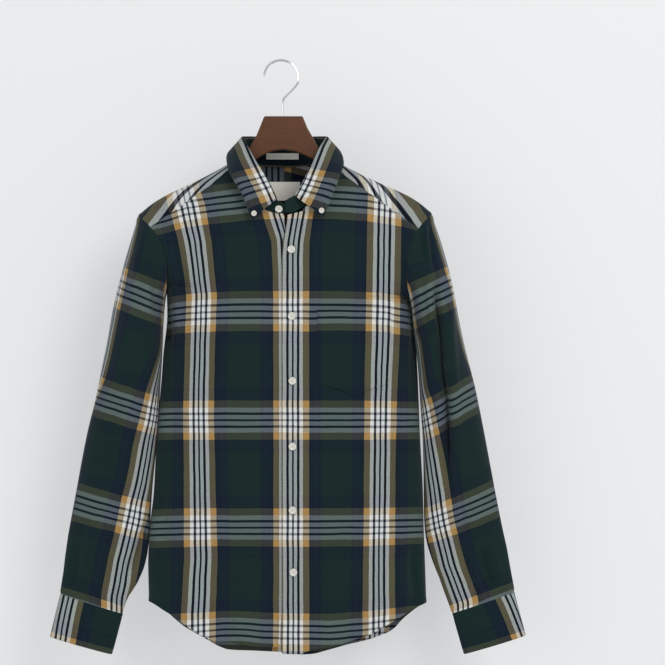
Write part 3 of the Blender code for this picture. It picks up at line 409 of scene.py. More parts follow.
def back_panel(columns, low_rows, mid_rows, top_rows):
    z_low = -790.0
    grid = []

    def base_row(z, zl=None, zr=None):
        a = np.array([float(torso("left", z)), 0.0, z])
        b = np.array([float(torso("right", z)), 0.0, z])
        return back_row(a, b, 2.6, float(torso("back", z)), columns)

    low = base_row(z_low)
    for k in range(low_rows):
        t = k / low_rows
        row = []
        for c in range(columns):
            z_hem = float(smooth(HEM_BACK, "x", "z", low[c][0]))
            row.append(base_row(z_hem + (z_low - z_hem) * t)[c])
        grid.append(row)
    zl, zr = SLEEVE_RIGHT[0]["iz"], SLEEVE_LEFT[0]["iz"]
    for k in range(mid_rows):
        t = k / mid_rows
        z1, z2 = z_low + (zl - z_low) * t, z_low + (zr - z_low) * t
        a = np.array([float(torso("left", z1)), 0.0, z1])
        b = np.array([float(torso("right", z2)), 0.0, z2])
        grid.append(back_row(a, b, 2.6, float(torso("back", (z1 + z2) / 2)), columns))
    ls = resample([armhole("right", t) for t in np.linspace(180, 360 - ARM_BACK, 60)], top_rows + 1)
    rs = resample([armhole("left", t) for t in np.linspace(180, 360 - ARM_BACK, 60)], top_rows + 1)
    for k in range(top_rows + 1):
        w = k / top_rows
        climb = (ls[k][2] - ls[0][2]) / (ls[-1][2] - ls[0][2])
        flat = back_row(ls[k], rs[k], 2.6, 51.0 + 2.0 * climb, columns)
        if k == 0:
            grid.append(flat)
            continue
        wide = 193.0 + 70.0 * float(ease(w / 0.35))
        q = float(ease(w / 0.6))
        middle = 11.0
        for c in range(columns):
            s = c / (columns - 1)
            xi = min(1.0, abs(flat[c][0] - middle) / wide)
            full = 51.0 * (1 - xi ** 2.6) ** (1 / 2.6)
            ends = []
            for p in (ls[k], rs[k]):
                ends.append(p[1] - 51.0 * (1 - min(1.0, abs(p[0] - middle) / wide) ** 2.6) ** (1 / 2.6))
            full += ends[0] * (1 - s) ** 8 + ends[1] * s ** 8
            flat[c][1] = full * (1 - q) + flat[c][1] * q
        grid.append(flat)
    return np.array(grid)


def back_row(a, b, square, depth, count):
    out = []
    for t in np.linspace(0, 1, 120):
        s = 0.5 - 0.5 * math.copysign(abs(math.cos(math.pi * t)) ** (2 / square), math.cos(math.pi * t))
        p = a + (b - a) * s
        side_y = a[1] + (b[1] - a[1]) * s
        p[1] = side_y + (depth - side_y) * (1 - abs(1 - 2 * s) ** square) ** (1 / square)
        out.append(p)
    return resample(out, count)


def yoke_grid(arm_cells, back_cells, across):
    """Fan from the neckline out to the armholes and the back yoke seam."""
    rims = []
    turns_r = np.concatenate([np.linspace(ARM_FRONT, 0, arm_cells // 2 + 1), np.linspace(0, -ARM_BACK, arm_cells - arm_cells // 2 + 1)[1:]])
    for t in turns_r:
        rims.append(armhole("right", t))
    back_top = back_row(armhole("right", -ARM_BACK), armhole("left", -ARM_BACK), 2.6, 53.0, back_cells + 1)
    rims += list(back_top[1:-1])
    for t in turns_r[::-1]:
        rims.append(armhole("left", t))
    rims = np.array(rims)
    count = len(rims)
    neck = [neck_point("right", t) for t in np.linspace(YOKE_TURN, 180, 40)] + [neck_point("left", t) for t in np.linspace(180, YOKE_TURN, 40)[1:]]
    share = np.linalg.norm(np.diff(rims, axis=0), axis=1) ** 0.55
    arm_total = share[:arm_cells].sum()
    run = np.concatenate([[0], np.cumsum(share)])
    run /= run[-1]
    neck = np.array(neck)
    nrun = np.concatenate([[0], np.cumsum(np.linalg.norm(np.diff(neck, axis=0), axis=1))])
    nrun /= nrun[-1]
    # the ridge column starts at the neck's side point
    ridge_i = arm_cells // 2
    side_turn = 96
    knots_i = [0, ridge_i, count - 1 - ridge_i, count - 1]
    side_share = np.linalg.norm(neck - neck_point("right", side_turn), axis=1).argmin()
    side_share2 = np.linalg.norm(neck - neck_point("left", side_turn), axis=1).argmin()
    knots_n = [0.0, nrun[side_share], nrun[side_share2], 1.0]
    place = np.interp(run, [run[i] for i in knots_i], knots_n)
    starts = np.stack([np.interp(place, nrun, neck[:, k]) for k in range(3)], axis=1)
    grid = []
    for i in range(count):
        row = []
        d = min(abs(i - ridge_i), abs(i - (count - 1 - ridge_i)))
        crown = SHOULDER_CROWN * max(0.0, 1 - (d / 4.0) ** 2)
        for j in range(across + 1):
            t = j / across
            p = starts[i] + (rims[i] - starts[i]) * t
            p = p + np.array([0, 0, crown * math.sin(math.pi * t ** 2.8)])
            row.append(p)
        grid.append(row)
    return np.array(grid)


def sleeve_grid(side, per_ring):
    info = SIDES[side]
    rows = info["sleeve"]
    out = [[armhole(side, 360.0 * k / per_ring, -0.4) for k in range(per_ring)]]
    for row in rows[1:]:
        out.append([ring_point(row, info["sign"], 360.0 * k / per_ring) for k in range(per_ring)])
    return np.array(out)


def cuff_grid(side, per_ring, rows):
    info = SIDES[side]
    top = dict(info["sleeve"][-1])
    low = [r for r in CUFF_EDGE if r["side"] == side][0]
    out = []
    for k in range(rows + 1):
        t = k / rows
        row = {n: top[n] + (low[n] - top[n]) * t for n in ("ox", "oz", "ix", "iz")}
        row.update(front=10.5 + 1.5 * math.sin(math.pi * t), back=10.5 + 1.5 * math.sin(math.pi * t), bow=0)
        out.append([ring_point(row, info["sign"], 360.0 * j / per_ring) for j in range(per_ring)])
    return np.array(out)


def collar_line(side, which, count):
    rows = SIDES[side]["collar"]
    return spline([[r[which + "x"], r[which + "y"], r[which + "z"]] for r in rows], count)


def round_neck(right, left):
    """Joins the two halves of a line round the neck, right front end to left front end."""
    return np.array(list(right) + list(left[::-1][1:]))


def neck_base(count):
    """The stand's seam line, from front end to front end."""
    right = resample([neck_point("right", t) for t in np.linspace(14, 180, 50)], count)
    left = resample([neck_point("left", t) for t in np.linspace(22, 180, 50)], count)
    return round_neck(right, left)


def skin_normals(grid, closed, away):
    """Outward directions on a grid of points; away tells the outer side at each point."""
    n_u, n_v = grid.shape[:2]
    du = np.empty_like(grid)
    dv = np.empty_like(grid)
    du[1:-1] = grid[2:] - grid[:-2]
    du[0] = grid[1] - grid[0]
    du[-1] = grid[-1] - grid[-2]
    if closed:
        dv = np.roll(grid, -1, axis=1) - np.roll(grid, 1, axis=1)
    else:
        dv[:, 1:-1] = grid[:, 2:] - grid[:, :-2]
        dv[:, 0] = grid[:, 1] - grid[:, 0]
        dv[:, -1] = grid[:, -1] - grid[:, -2]
    n = np.cross(du, dv)
    n /= np.maximum(np.linalg.norm(n, axis=2, keepdims=True), 1e-9)
    flip = np.sign(np.sum(n * away, axis=2, keepdims=True))
    flip[flip == 0] = 1
    if (flip > 0).mean() > 0.5:
        return n
    return -n


# --------------------------------------------------------------- fine grids
CLOTH = 1.0         # wall of the finer cloth
UNIT = 1.57         # the charts below are in units of 1.57 mm, seen from the front
VIEW = np.array([80.1, -426.3])   # where the front view looks, in the tables' frame


def seen(p):
    """Where each point shows on the charts: right and down, from the front view."""
    p = np.asarray(p, float)
    f = 1.0 + (p[..., 1] + 30.0) / 3500.0
    x = VIEW[0] + (p[..., 0] - VIEW[0]) / f
    z = VIEW[1] + (p[..., 2] - VIEW[1]) / f
    return x / UNIT + 281.5, 61.0 - z / UNIT


def cubic(a, factor, axis=0, closed=False):
    """Catmull-Rom steps between the grid's rows or columns."""
    a = np.moveaxis(np.asarray(a, float), axis, 0)
    n = a.shape[0]
    if closed:
        ext = np.concatenate([a[-1:], a, a[:2]], axis=0)
        cells = n
    else:
        ext = np.concatenate([2 * a[:1] - a[1:2], a, 2 * a[-1:] - a[-2:-1]], axis=0)
        cells = n - 1
    out = []
    for k in range(factor):
        t = k / factor
        p0, p1, p2, p3 = (ext[m:m + cells] for m in range(4))
        out.append(0.5 * (2 * p1 + (p2 - p0) * t + (2 * p0 - 5 * p1 + 4 * p2 - p3) * t ** 2
                          + (3 * p1 - p0 - 3 * p2 + p3) * t ** 3))
    res = np.stack(out, axis=1).reshape((cells * factor,) + a.shape[1:])
    if not closed:
        res = np.concatenate([res, a[-1:]], axis=0)
    return np.moveaxis(res, 0, axis)


def arc(grid, axis):
    """Length run along one way of a grid."""
    step = np.linalg.norm(np.diff(grid, axis=axis), axis=2)
    pad = [(0, 0), (0, 0)]
    pad[axis] = (1, 0)
    return np.pad(np.cumsum(step, axis=axis), pad)


def chart(rows, key, y):
    """A chart's column read at y, straight between its rows and held past its ends."""
    ys = np.array(column(rows, "y"), float)
    return np.interp(y, ys, np.array(column(rows, key), float))


def put_edge(grid, exact, reach=6, last=False):
    """Lays a grid's side column on an exact line and eases the shift out over a few columns."""
    j0 = grid.shape[1] - 1 if last else 0
    shift = exact - grid[:, j0]
    for k in range(reach):
        j = j0 - k if last else j0 + k
        grid[:, j] += shift * (1 - k / reach) ** 1.5
    return grid


# -------------------------------------------------------------- the cloth's
# own directions: u runs across the warp stripes and v along them, both in mm
# of flat cloth.  A warp set is centred every 143 mm and a weft set every 168.
WARP_REPEAT, WEFT_REPEAT = 143.0, 168.0
HALF = 25.3
# Charts of where the stripes lie on the fronts.  a, b: edges of the side set;
# c: the edge set's outer line.
LEAN_RIGHT = table("y a b c", [
    (190, 164, 200, 258), (205, 169, 205, 260.5), (221.5, 173, 208, 264.5), (242, 178.3, 211.5, 271.2),
    (271, 183, 214.2, 272.6), (296, 186.4, 216.6, 273.0), (350, 185, 214.6, 273.2), (410, 183, 213.6, 273.3),
    (560, 183.7, 217.3, 273.3), (614, 180.4, 215.6, 273.0),
])
LEAN_LEFT = table("y p q c a b", [
    (190, 289, 309, 313.8, 368, 402.5), (212, 288.3, 308.8, 313.4, 367.4, 401.4), (228, 286, 305.6, 311, 367, 401.2),
    (242, 283.6, 303.4, 309.3, 366.8, 401), (256, 282.5, 302.8, 309, 366.6, 400.8), (333, 282.4, 302.9, 309, 365.6, 400),
    (400, 282.4, 302.9, 309, 364.3, 396.6), (560, 282.8, 303, 309, 363, 394.2), (614, 283, 303.2, 309.2, 362.4, 395),
])
# Weft sets' centres, by distance across the fronts.
SETS = table("x s0 s1 s2 s3 s4", [
    (150, 219, 318, 420, 529, 633), (165, 215, 316.5, 420, 528.5, 633), (185, 208.5, 313.5, 420, 528, 632),
    (204, 205.6, 312, 420, 527.6, 631), (221, 203.6, 311.3, 420, 527.4, 629.5), (242, 200.6, 311, 420, 527.4, 629),
    (262, 198.6, 311.2, 420, 527.6, 631), (285, 197.6, 311.4, 420, 527.6, 632), (331, 198.3, 311.5, 420, 527.6, 632.5),
    (342, 199, 311.5, 420, 527.5, 632), (368, 201, 312, 420, 527.3, 629.5), (385, 203.5, 313, 420, 527, 627),
    (405, 207, 316.3, 420, 526.4, 624), (425, 214, 320, 420, 526, 622),
])


def weft_line(x, y):
    """v from the sets' centres: 168 mm of cloth between one and the next."""
    xs = np.array(column(SETS, "x"), float)
    s = np.stack([np.interp(x, xs, np.array(column(SETS, "s%d" % k), float)) for k in range(5)])
    steps = np.diff(s, axis=0)
    v = np.zeros_like(x)
    v = np.where(y < s[0], (y - s[0]) / steps[0], v)
    for k in range(4):
        v = np.where((y >= s[k]) & (y < s[k + 1]), k + (y - s[k]) / steps[k], v)
    v = np.where(y >= s[4], 4 + (y - s[4]) / steps[3], v)
    return v * WEFT_REPEAT


def by_marks(x, marks, values, run):
    """u between marked places, and by the cloth's own length past the outer ones."""
    out = np.empty_like(x)
    for i in range(x.shape[0]):
        m = marks[i]
        order = np.argsort(m)
        xi, mi, vi = x[i], m[order], values[order]
        u = np.interp(xi, mi, vi)
        for end, pick in ((mi[0], xi < mi[0]), (mi[-1], xi > mi[-1])):
            if pick.any() and (~pick).any():
                near = np.argmin(np.abs(xi - end))
                side = vi[0] if end == mi[0] else vi[-1]
                sign = -1.0 if end == mi[0] else 1.0
                u[pick] = side + sign * (np.abs(run[i][pick] - run[i][near]) + sign * (end - xi[near]) * 0.0 * UNIT)
        out[i] = u
    return out


def front_cloth(side, grid):
    """Cloth coordinates of a front, read from the charts."""
    x, y = seen(grid)
    run = arc(grid, 1)
    yy = np.clip(y, 190, 640)
    if side == "right":
        marks = np.stack([chart(LEAN_RIGHT, k, yy.mean(axis=1)) for k in "abc"], axis=1)
        values = np.array([-WARP_REPEAT - HALF, -WARP_REPEAT + HALF, -HALF])
        cols = [chart(LEAN_RIGHT, k, yy) for k in "abc"]
    else:
        cols = [chart(LEAN_LEFT, k, yy) for k in "pqcab"]
        values = np.array([-16.1, 16.1, HALF, WARP_REPEAT - HALF, WARP_REPEAT + HALF])
    u = np.empty_like(x)
    m = np.stack(cols, axis=2)
    u = np.full_like(x, 0.0)
    lo, hi = m[..., 0], m[..., -1]
    for k in range(m.shape[2] - 1):
        a, b = m[..., k], m[..., k + 1]
        t = (x - a) / (b - a)
        u = np.where((x >= a) & (x <= b), values[k] + (values[k + 1] - values[k]) * t, u)
    for i in range(x.shape[0]):
        for end, val, pick, sign in ((lo[i], values[0], x[i] < lo[i], -1.0), (hi[i], values[-1], x[i] > hi[i], 1.0)):
            if pick.any():
                if (~pick).any():
                    gap = x[i] - end
                    order = np.argsort(gap)
                    near = np.interp(0.0, gap[order], run[i][order])
                    u[i][pick] = val + sign * np.abs(run[i][pick] - near)
                else:
                    u[i][pick] = val + (x[i] - end)[pick] * UNIT
    v = weft_line(x, y)
    return u, v


# ------------------------------------------------------------------- creases
# Soft troughs (+) and ridges (-): a line through chart points, its half width,
# its depth in mm, and how much steeper its right side is.
CREASE = {
    "body": [
        ([(160, 268), (163, 296), (167, 330), (169, 352)], 7.0, 5.5, 0.3),
        ([(174, 262), (176, 300), (181, 344)], 6.0, -2.2, 0.0),
        ([(173, 240), (179, 262), (182, 292)], 8.0, 1.8, 0.0),
        ([(166, 352), (172, 420), (177, 486)], 9.0, 1.6, 0.0),
        ([(158, 470), (164, 530), (162, 590)], 8.0, 1.8, 0.0),
        ([(176, 560), (174, 600), (176, 640)], 10.0, 2.2, 0.0),
        ([(232, 470), (236, 540), (240, 590)], 12.0, -1.6, 0.0),
        ([(222, 580), (226, 612), (230, 650)], 8.0, 1.5, 0.0),
        ([(240, 596), (241, 620), (243, 652)], 10.0, -2.0, 0.0),
        ([(258, 440), (262, 520), (261, 600)], 9.0, 1.3, 0.0),
        ([(340, 430), (344, 500), (341, 560)], 12.0, 1.5, 0.0),
        ([(330, 560), (328, 600), (326, 650)], 9.0, -1.5, 0.0),
        ([(352, 590), (350, 620), (348, 648)], 8.0, 1.8, 0.0),
        ([(412, 548), (415, 576), (419, 604)], 7.0, 3.2, 0.4),
        ([(402, 500), (402, 560), (404, 622)], 9.0, -1.8, 0.0),
        ([(418, 300), (414, 350), (413, 410)], 6.0, 2.2, 0.0),
        ([(402, 250), (408, 280), (412, 318)], 7.0, 1.8, 0.0),
        ([(392, 420), (398, 470), (402, 520)], 9.0, 1.4, 0.0),
        ([(300, 262), (318, 274), (342, 282)], 9.0, 0.9, 0.0),
        ([(250, 262), (236, 276), (222, 286)], 9.0, 0.9, 0.0),
    ],
    "back": [
        ([(176, 268), (190, 330), (200, 400)], 10.0, 3.0, 0.0),
        ([(214, 250), (220, 340), (226, 430), (224, 520)], 14.0, 3.0, 0.0),
        ([(246, 280), (250, 380), (246, 470)], 12.0, -2.4, 0.0),
        ([(268, 230), (270, 330), (266, 440), (270, 560)], 11.0, 2.4, 0.0),
        ([(318, 236), (316, 330), (322, 430), (318, 540)], 12.0, 2.8, 0.0),
        ([(352, 262), (350, 360), (346, 450)], 13.0, -2.2, 0.0),
        ([(382, 270), (376, 340), (370, 420)], 11.0, 2.6, 0.0),
        ([(192, 470), (196, 550), (190, 640)], 12.0, 2.4, 0.0),
        ([(300, 480), (296, 560), (300, 660)], 12.0, -2.4, 0.0),
        ([(352, 500), (360, 580), (356, 650)], 12.0, 2.4, 0.0),
        ([(398, 470), (402, 540), (408, 610)], 10.0, 2.0, 0.0),
        ([(236, 540), (232, 600), (238, 660)], 10.0, 1.8, 0.0),
    ],
    "sleeve_left": [
        ([(437, 262), (439, 300), (442, 328), (443.6, 366), (448, 400), (449.5, 440), (450, 494)], 5.0, 9.5, 0.62),
        ([(447, 258), (449, 300), (452, 350), (456, 400), (459, 450), (462, 500)], 6.0, -2.6, 0.0),
        ([(421, 226), (423, 244), (427, 266)], 4.0, 3.0, 0.0),
        ([(429.5, 224), (432, 246), (435, 270)], 3.6, 2.6, 0.0),
        ([(426, 222), (428, 240), (431, 264)], 3.0, -1.6, 0.0),
        ([(420, 262), (424, 300), (428, 340)], 5.0, 1.6, 0.0),
        ([(480.6, 546), (487, 564), (495, 588)], 4.5, 3.4, 0.3),
        ([(488, 540), (496, 560), (504, 586)], 4.5, -2.0, 0.0),
        ([(462, 500), (468, 530), (474, 562)], 5.5, 2.0, 0.0),
        ([(474, 582), (475, 592), (476, 600)], 2.4, 1.8, 0.0),
        ([(484, 578), (486, 588), (488, 600)], 2.2, 1.8, 0.0),
        ([(503, 580), (505, 590), (507, 600)], 2.2, 1.6, 0.0),
        ([(466, 540), (466, 570), (466, 596)], 5.0, 2.0, 0.0),
    ],
    "sleeve_right": [
        ([(154, 262), (156, 288), (157, 322)], 5.0, 2.8, 0.0),
        ([(147, 232), (146, 256), (143, 284)], 5.0, 2.0, 0.0),
        ([(138, 240), (136, 270), (131, 300)], 5.0, -1.4, 0.0),
        ([(141, 330), (133, 370), (127, 420)], 7.0, 2.0, 0.0),
        ([(116, 392), (110, 440), (104, 490)], 6.0, 1.8, 0.0),
        ([(127, 420), (121, 470), (114, 520)], 6.5, -2.0, 0.0),
        ([(151, 518), (143, 540), (134, 562), (127, 582)], 4.6, 4.4, 0.3),
        ([(142, 508), (133, 536), (124, 566)], 4.6, -2.2, 0.0),
        ([(112, 520), (108, 556), (104, 590)], 5.5, 2.2, 0.0),
        ([(96, 500), (90, 540), (84, 580)], 6.0, -1.8, 0.0),
        ([(80, 540), (76, 566), (74, 594)], 4.5, 2.0, 0.0),
        ([(84, 578), (83, 588), (82, 600)], 2.2, 1.6, 0.0),
        ([(95, 580), (94, 590), (93, 602)], 2.2, 1.8, 0.0),
        ([(116, 584), (115, 594), (114, 606)], 2.4, 1.8, 0.0),
    ],
}


def crease_depth(name, x, y):
    total = np.zeros_like(x)
    for line, width, depth, skew in CREASE[name]:
        pts = np.array(line, float)
        best = np.full(x.shape, 1e9)
        place = np.zeros_like(x)
        sidew = np.zeros_like(x)
        seg = np.linalg.norm(np.diff(pts, axis=0), axis=1)
        runs = np.concatenate([[0], np.cumsum(seg)])
        for k in range(len(pts) - 1):
            a, b = pts[k], pts[k + 1]
            d = b - a
            t = np.clip(((x - a[0]) * d[0] + (y - a[1]) * d[1]) / (d @ d), 0, 1)
            qx, qy = x - (a[0] + d[0] * t), y - (a[1] + d[1] * t)
            dist = np.hypot(qx, qy)
            better = dist < best
            best = np.where(better, dist, best)
            place = np.where(better, (runs[k] + seg[k] * t) / runs[-1], place)
            sidew = np.where(better, np.sign(d[0] * (y - a[1]) - d[1] * (x - a[0])) * -1.0, sidew)
        w = width * np.where(sidew > 0, 1 - skew, 1 + skew * 0.6)
        r = best / w
        bell = np.exp(-r * r * 1.6)
        ends = np.clip(np.minimum(place, 1 - place) * 4.0, 0, 1)
        ends = 0.12 + 0.88 * ends * ends * (3 - 2 * ends)
        total = total - 1.9 * depth * bell * ends
    return total


def gentle(x, y, seed, size, height):
    """Long, uneven undulation so that no panel hangs perfectly even."""
    rng = np.random.RandomState(seed)
    out = np.zeros_like(x)
    for k in range(7):
        wx, wy = rng.uniform(0.6, 1.6) / size, rng.uniform(0.12, 0.45) / size
        a, b = rng.uniform(0, 6.28), rng.uniform(-0.25, 0.25)
        out = out + np.sin((x + b * y) * wx + y * wy * rng.choice([-1, 1]) + a) * rng.uniform(0.4, 1.0)
    return out * height / 3.0


# ------------------------------------------------------------------- meshes
def mesh_object(name, points, faces, uv=None, materials=(), index=None, smooth_angle=50):
    mesh = bpy.data.meshes.new(name)
    verts = (np.asarray(points, float) - DATUM) * MM
    faces = np.asarray(faces, dtype=np.int64) if not isinstance(faces, list) else faces
    if isinstance(faces, np.ndarray):
        n, k = faces.shape
        mesh.vertices.add(len(verts))
        mesh.vertices.foreach_set("co", verts.astype(np.float32).ravel())
        mesh.loops.add(n * k)
        mesh.loops.foreach_set("vertex_index", faces.astype(np.int32).ravel())
        mesh.polygons.add(n)
        mesh.polygons.foreach_set("loop_start", (np.arange(n) * k).astype(np.int32))
        mesh.polygons.foreach_set("loop_total", np.full(n, k, np.int32))
    else:
        mesh.from_pydata([tuple(v) for v in verts], [], faces)
    mesh.update(calc_edges=True)
    if uv is not None:
        layer = mesh.uv_layers.new(name="cloth")
        loops = np.empty(len(mesh.loops), np.int32)
        mesh.loops.foreach_get("vertex_index", loops)
        layer.data.foreach_set("uv", np.asarray(uv, np.float32)[loops].ravel())
    if index is not None:
        mesh.polygons.foreach_set("material_index", np.asarray(index, np.int32))
    mesh.polygons.foreach_set("use_smooth", np.ones(len(mesh.polygons), bool))
    for m in materials:
        mesh.materials.append(m)
    if smooth_angle:
        mesh.set_sharp_from_angle(angle=math.radians(smooth_angle))
    mesh.validate()
    obj = bpy.data.objects.new(name, mesh)
    bpy.context.scene.collection.objects.link(obj)
    return obj


def shell_faces(n_u, n_v, closed, flip):
    i, j = np.meshgrid(np.arange(n_u - 1), np.arange(n_v if closed else n_v - 1), indexing="ij")
    i, j = i.ravel(), j.ravel()
    at = lambda a, b: a * n_v + b % n_v
    off = n_u * n_v
    outer = np.stack([at(i, j), at(i, j + 1), at(i + 1, j + 1), at(i + 1, j)], axis=1)
    inner = outer[:, ::-1] + off
    rim = []
    jj = np.arange(n_v if closed else n_v - 1)
    for i0, turn in ((0, False), (n_u - 1, True)):
        q = np.stack([at(i0, jj), at(i0, jj + 1), at(i0, jj + 1) + off, at(i0, jj) + off], axis=1)
        rim.append(q if turn else q[:, ::-1])
    if not closed:
        ii = np.arange(n_u - 1)
        for j0, turn in ((0, True), (n_v - 1, False)):
            q = np.stack([at(ii, j0), at(ii + 1, j0), at(ii + 1, j0) + off, at(ii, j0) + off], axis=1)
            rim.append(q if turn else q[:, ::-1])
    faces = np.concatenate([outer, inner] + rim)
    return faces[:, ::-1] if flip else faces


def cloth_piece(name, grid, normals, u, v, closed=False, wall=CLOTH, materials=None, extra=None):
    """A cloth wall with its own coordinates, hung on the outer grid and its inward copy."""
    n_u, n_v = grid.shape[:2]
    wall = np.broadcast_to(np.asarray(wall, float), grid.shape[:2])[..., None]
    inner = grid - normals * wall
    points = np.concatenate([grid.reshape(-1, 3), inner.reshape(-1, 3)])
    d_u = grid[1:, :-1] - grid[:-1, :-1]
    d_v = grid[:-1, 1:] - grid[:-1, :-1]
    facing = np.sum(np.cross(d_v, d_u) * normals[:-1, :-1], axis=2).mean()
    faces = shell_faces(n_u, n_v, closed, facing < 0)
    uv = np.stack([u.ravel(), v.ravel()], axis=1)
    uv = np.concatenate([uv, uv])
    if closed:
        # a closed grid's seam cells get no extra column here; they are left as they are
        pass
    obj = mesh_object(name, points, faces, uv, materials or [FLANNEL_STUFF])
    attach(obj, "root")
    made_cloth.append(obj)
    area = float(np.linalg.norm(np.cross(d_u, d_v), axis=2).sum())
    print("PIECE", name, "tris", len(faces) * 2, "skin m2 %.4f" % (area * 1e-6))
    return obj


made_cloth = []


# ----------------------------------------------------------------- materials
def nodes_of(name):
    m = bpy.data.materials.new(name)
    m.use_nodes = True
    t = m.node_tree
    return m, t, t.nodes["Principled BSDF"]


def ramp_constant(tree, stops):
    """A colour ramp of flat bands; each stop is (place 0..1, (r, g, b, mask))."""
    r = tree.nodes.new("ShaderNodeValToRGB")
    r.color_ramp.interpolation = "CONSTANT"
    e = r.color_ramp.elements
    while len(e) > 1:
        e.remove(e[-1])
    e[0].position = stops[0][0]
    e[0].color = stops[0][1]
    for place, colour in stops[1:]:
        n = e.new(place)
        n.color = colour
    return r


def tone(r, g, b, mask=0.0):
    return (r / 255.0, g / 255.0, b / 255.0, mask)


# Yarn shades as the eye reads them, with a mask that says how much a crossing
# of two light yarns brightens.
GREEN = tone(24, 42, 40)
NAVY = tone(23, 34, 46)
INK = tone(9, 14, 26)
OLIVE = tone(112, 97, 72, 1.0)
WHITE = tone(208, 207, 202, 0.25)
GREY = tone(198, 203, 203, 0.25)
SHADOW = tone(17, 27, 38)
# The sett, out from the middle of a set, in mm: warp and weft.
WARP_SETT = [(1.6, INK), (6.7, GREY), (10.3, INK), (16.1, WHITE), (25.3, OLIVE), (28, SHADOW), (31, NAVY), (32.5, SHADOW),
             (41.5, NAVY), (43, SHADOW), (46, NAVY), (71.5, GREEN)]
WEFT_SETT = [(1.9, INK), (8.4, GREY), (12.3, INK), (19.2, WHITE), (30.3, OLIVE), (32.6, SHADOW), (37, NAVY), (38.5, SHADOW),
             (46, NAVY), (48, SHADOW), (51, NAVY), (84, GREEN)]


def sett_stops(sett, repeat):
    """Turns a mirrored half sett into ramp stops over one repeat, centred on the set."""
    half = repeat / 2
    stops, last = [], sett[-1][1]
    edges = [0.0] + [w for w, _ in sett]
    # left half, read backwards
    for k in range(len(sett) - 1, -1, -1):
        lo = edges[k + 1]
        stops.append(((half - lo) / repeat, sett[k][1]))
    for k in range(1, len(sett)):
        stops.append(((half + edges[k]) / repeat, sett[k][1]))
    return stops


def math_node(tree, op, a, b=None, clamp=False):
    n = tree.nodes.new("ShaderNodeMath")
    n.operation = op
    n.use_clamp = clamp
    for i, s in enumerate((a, b)):
        if s is None:
            continue
        if hasattr(s, "links") or hasattr(s, "is_linked"):
            tree.links.new(s, n.inputs[i])
        else:
            n.inputs[i].default_value = s
    return n.outputs[0]


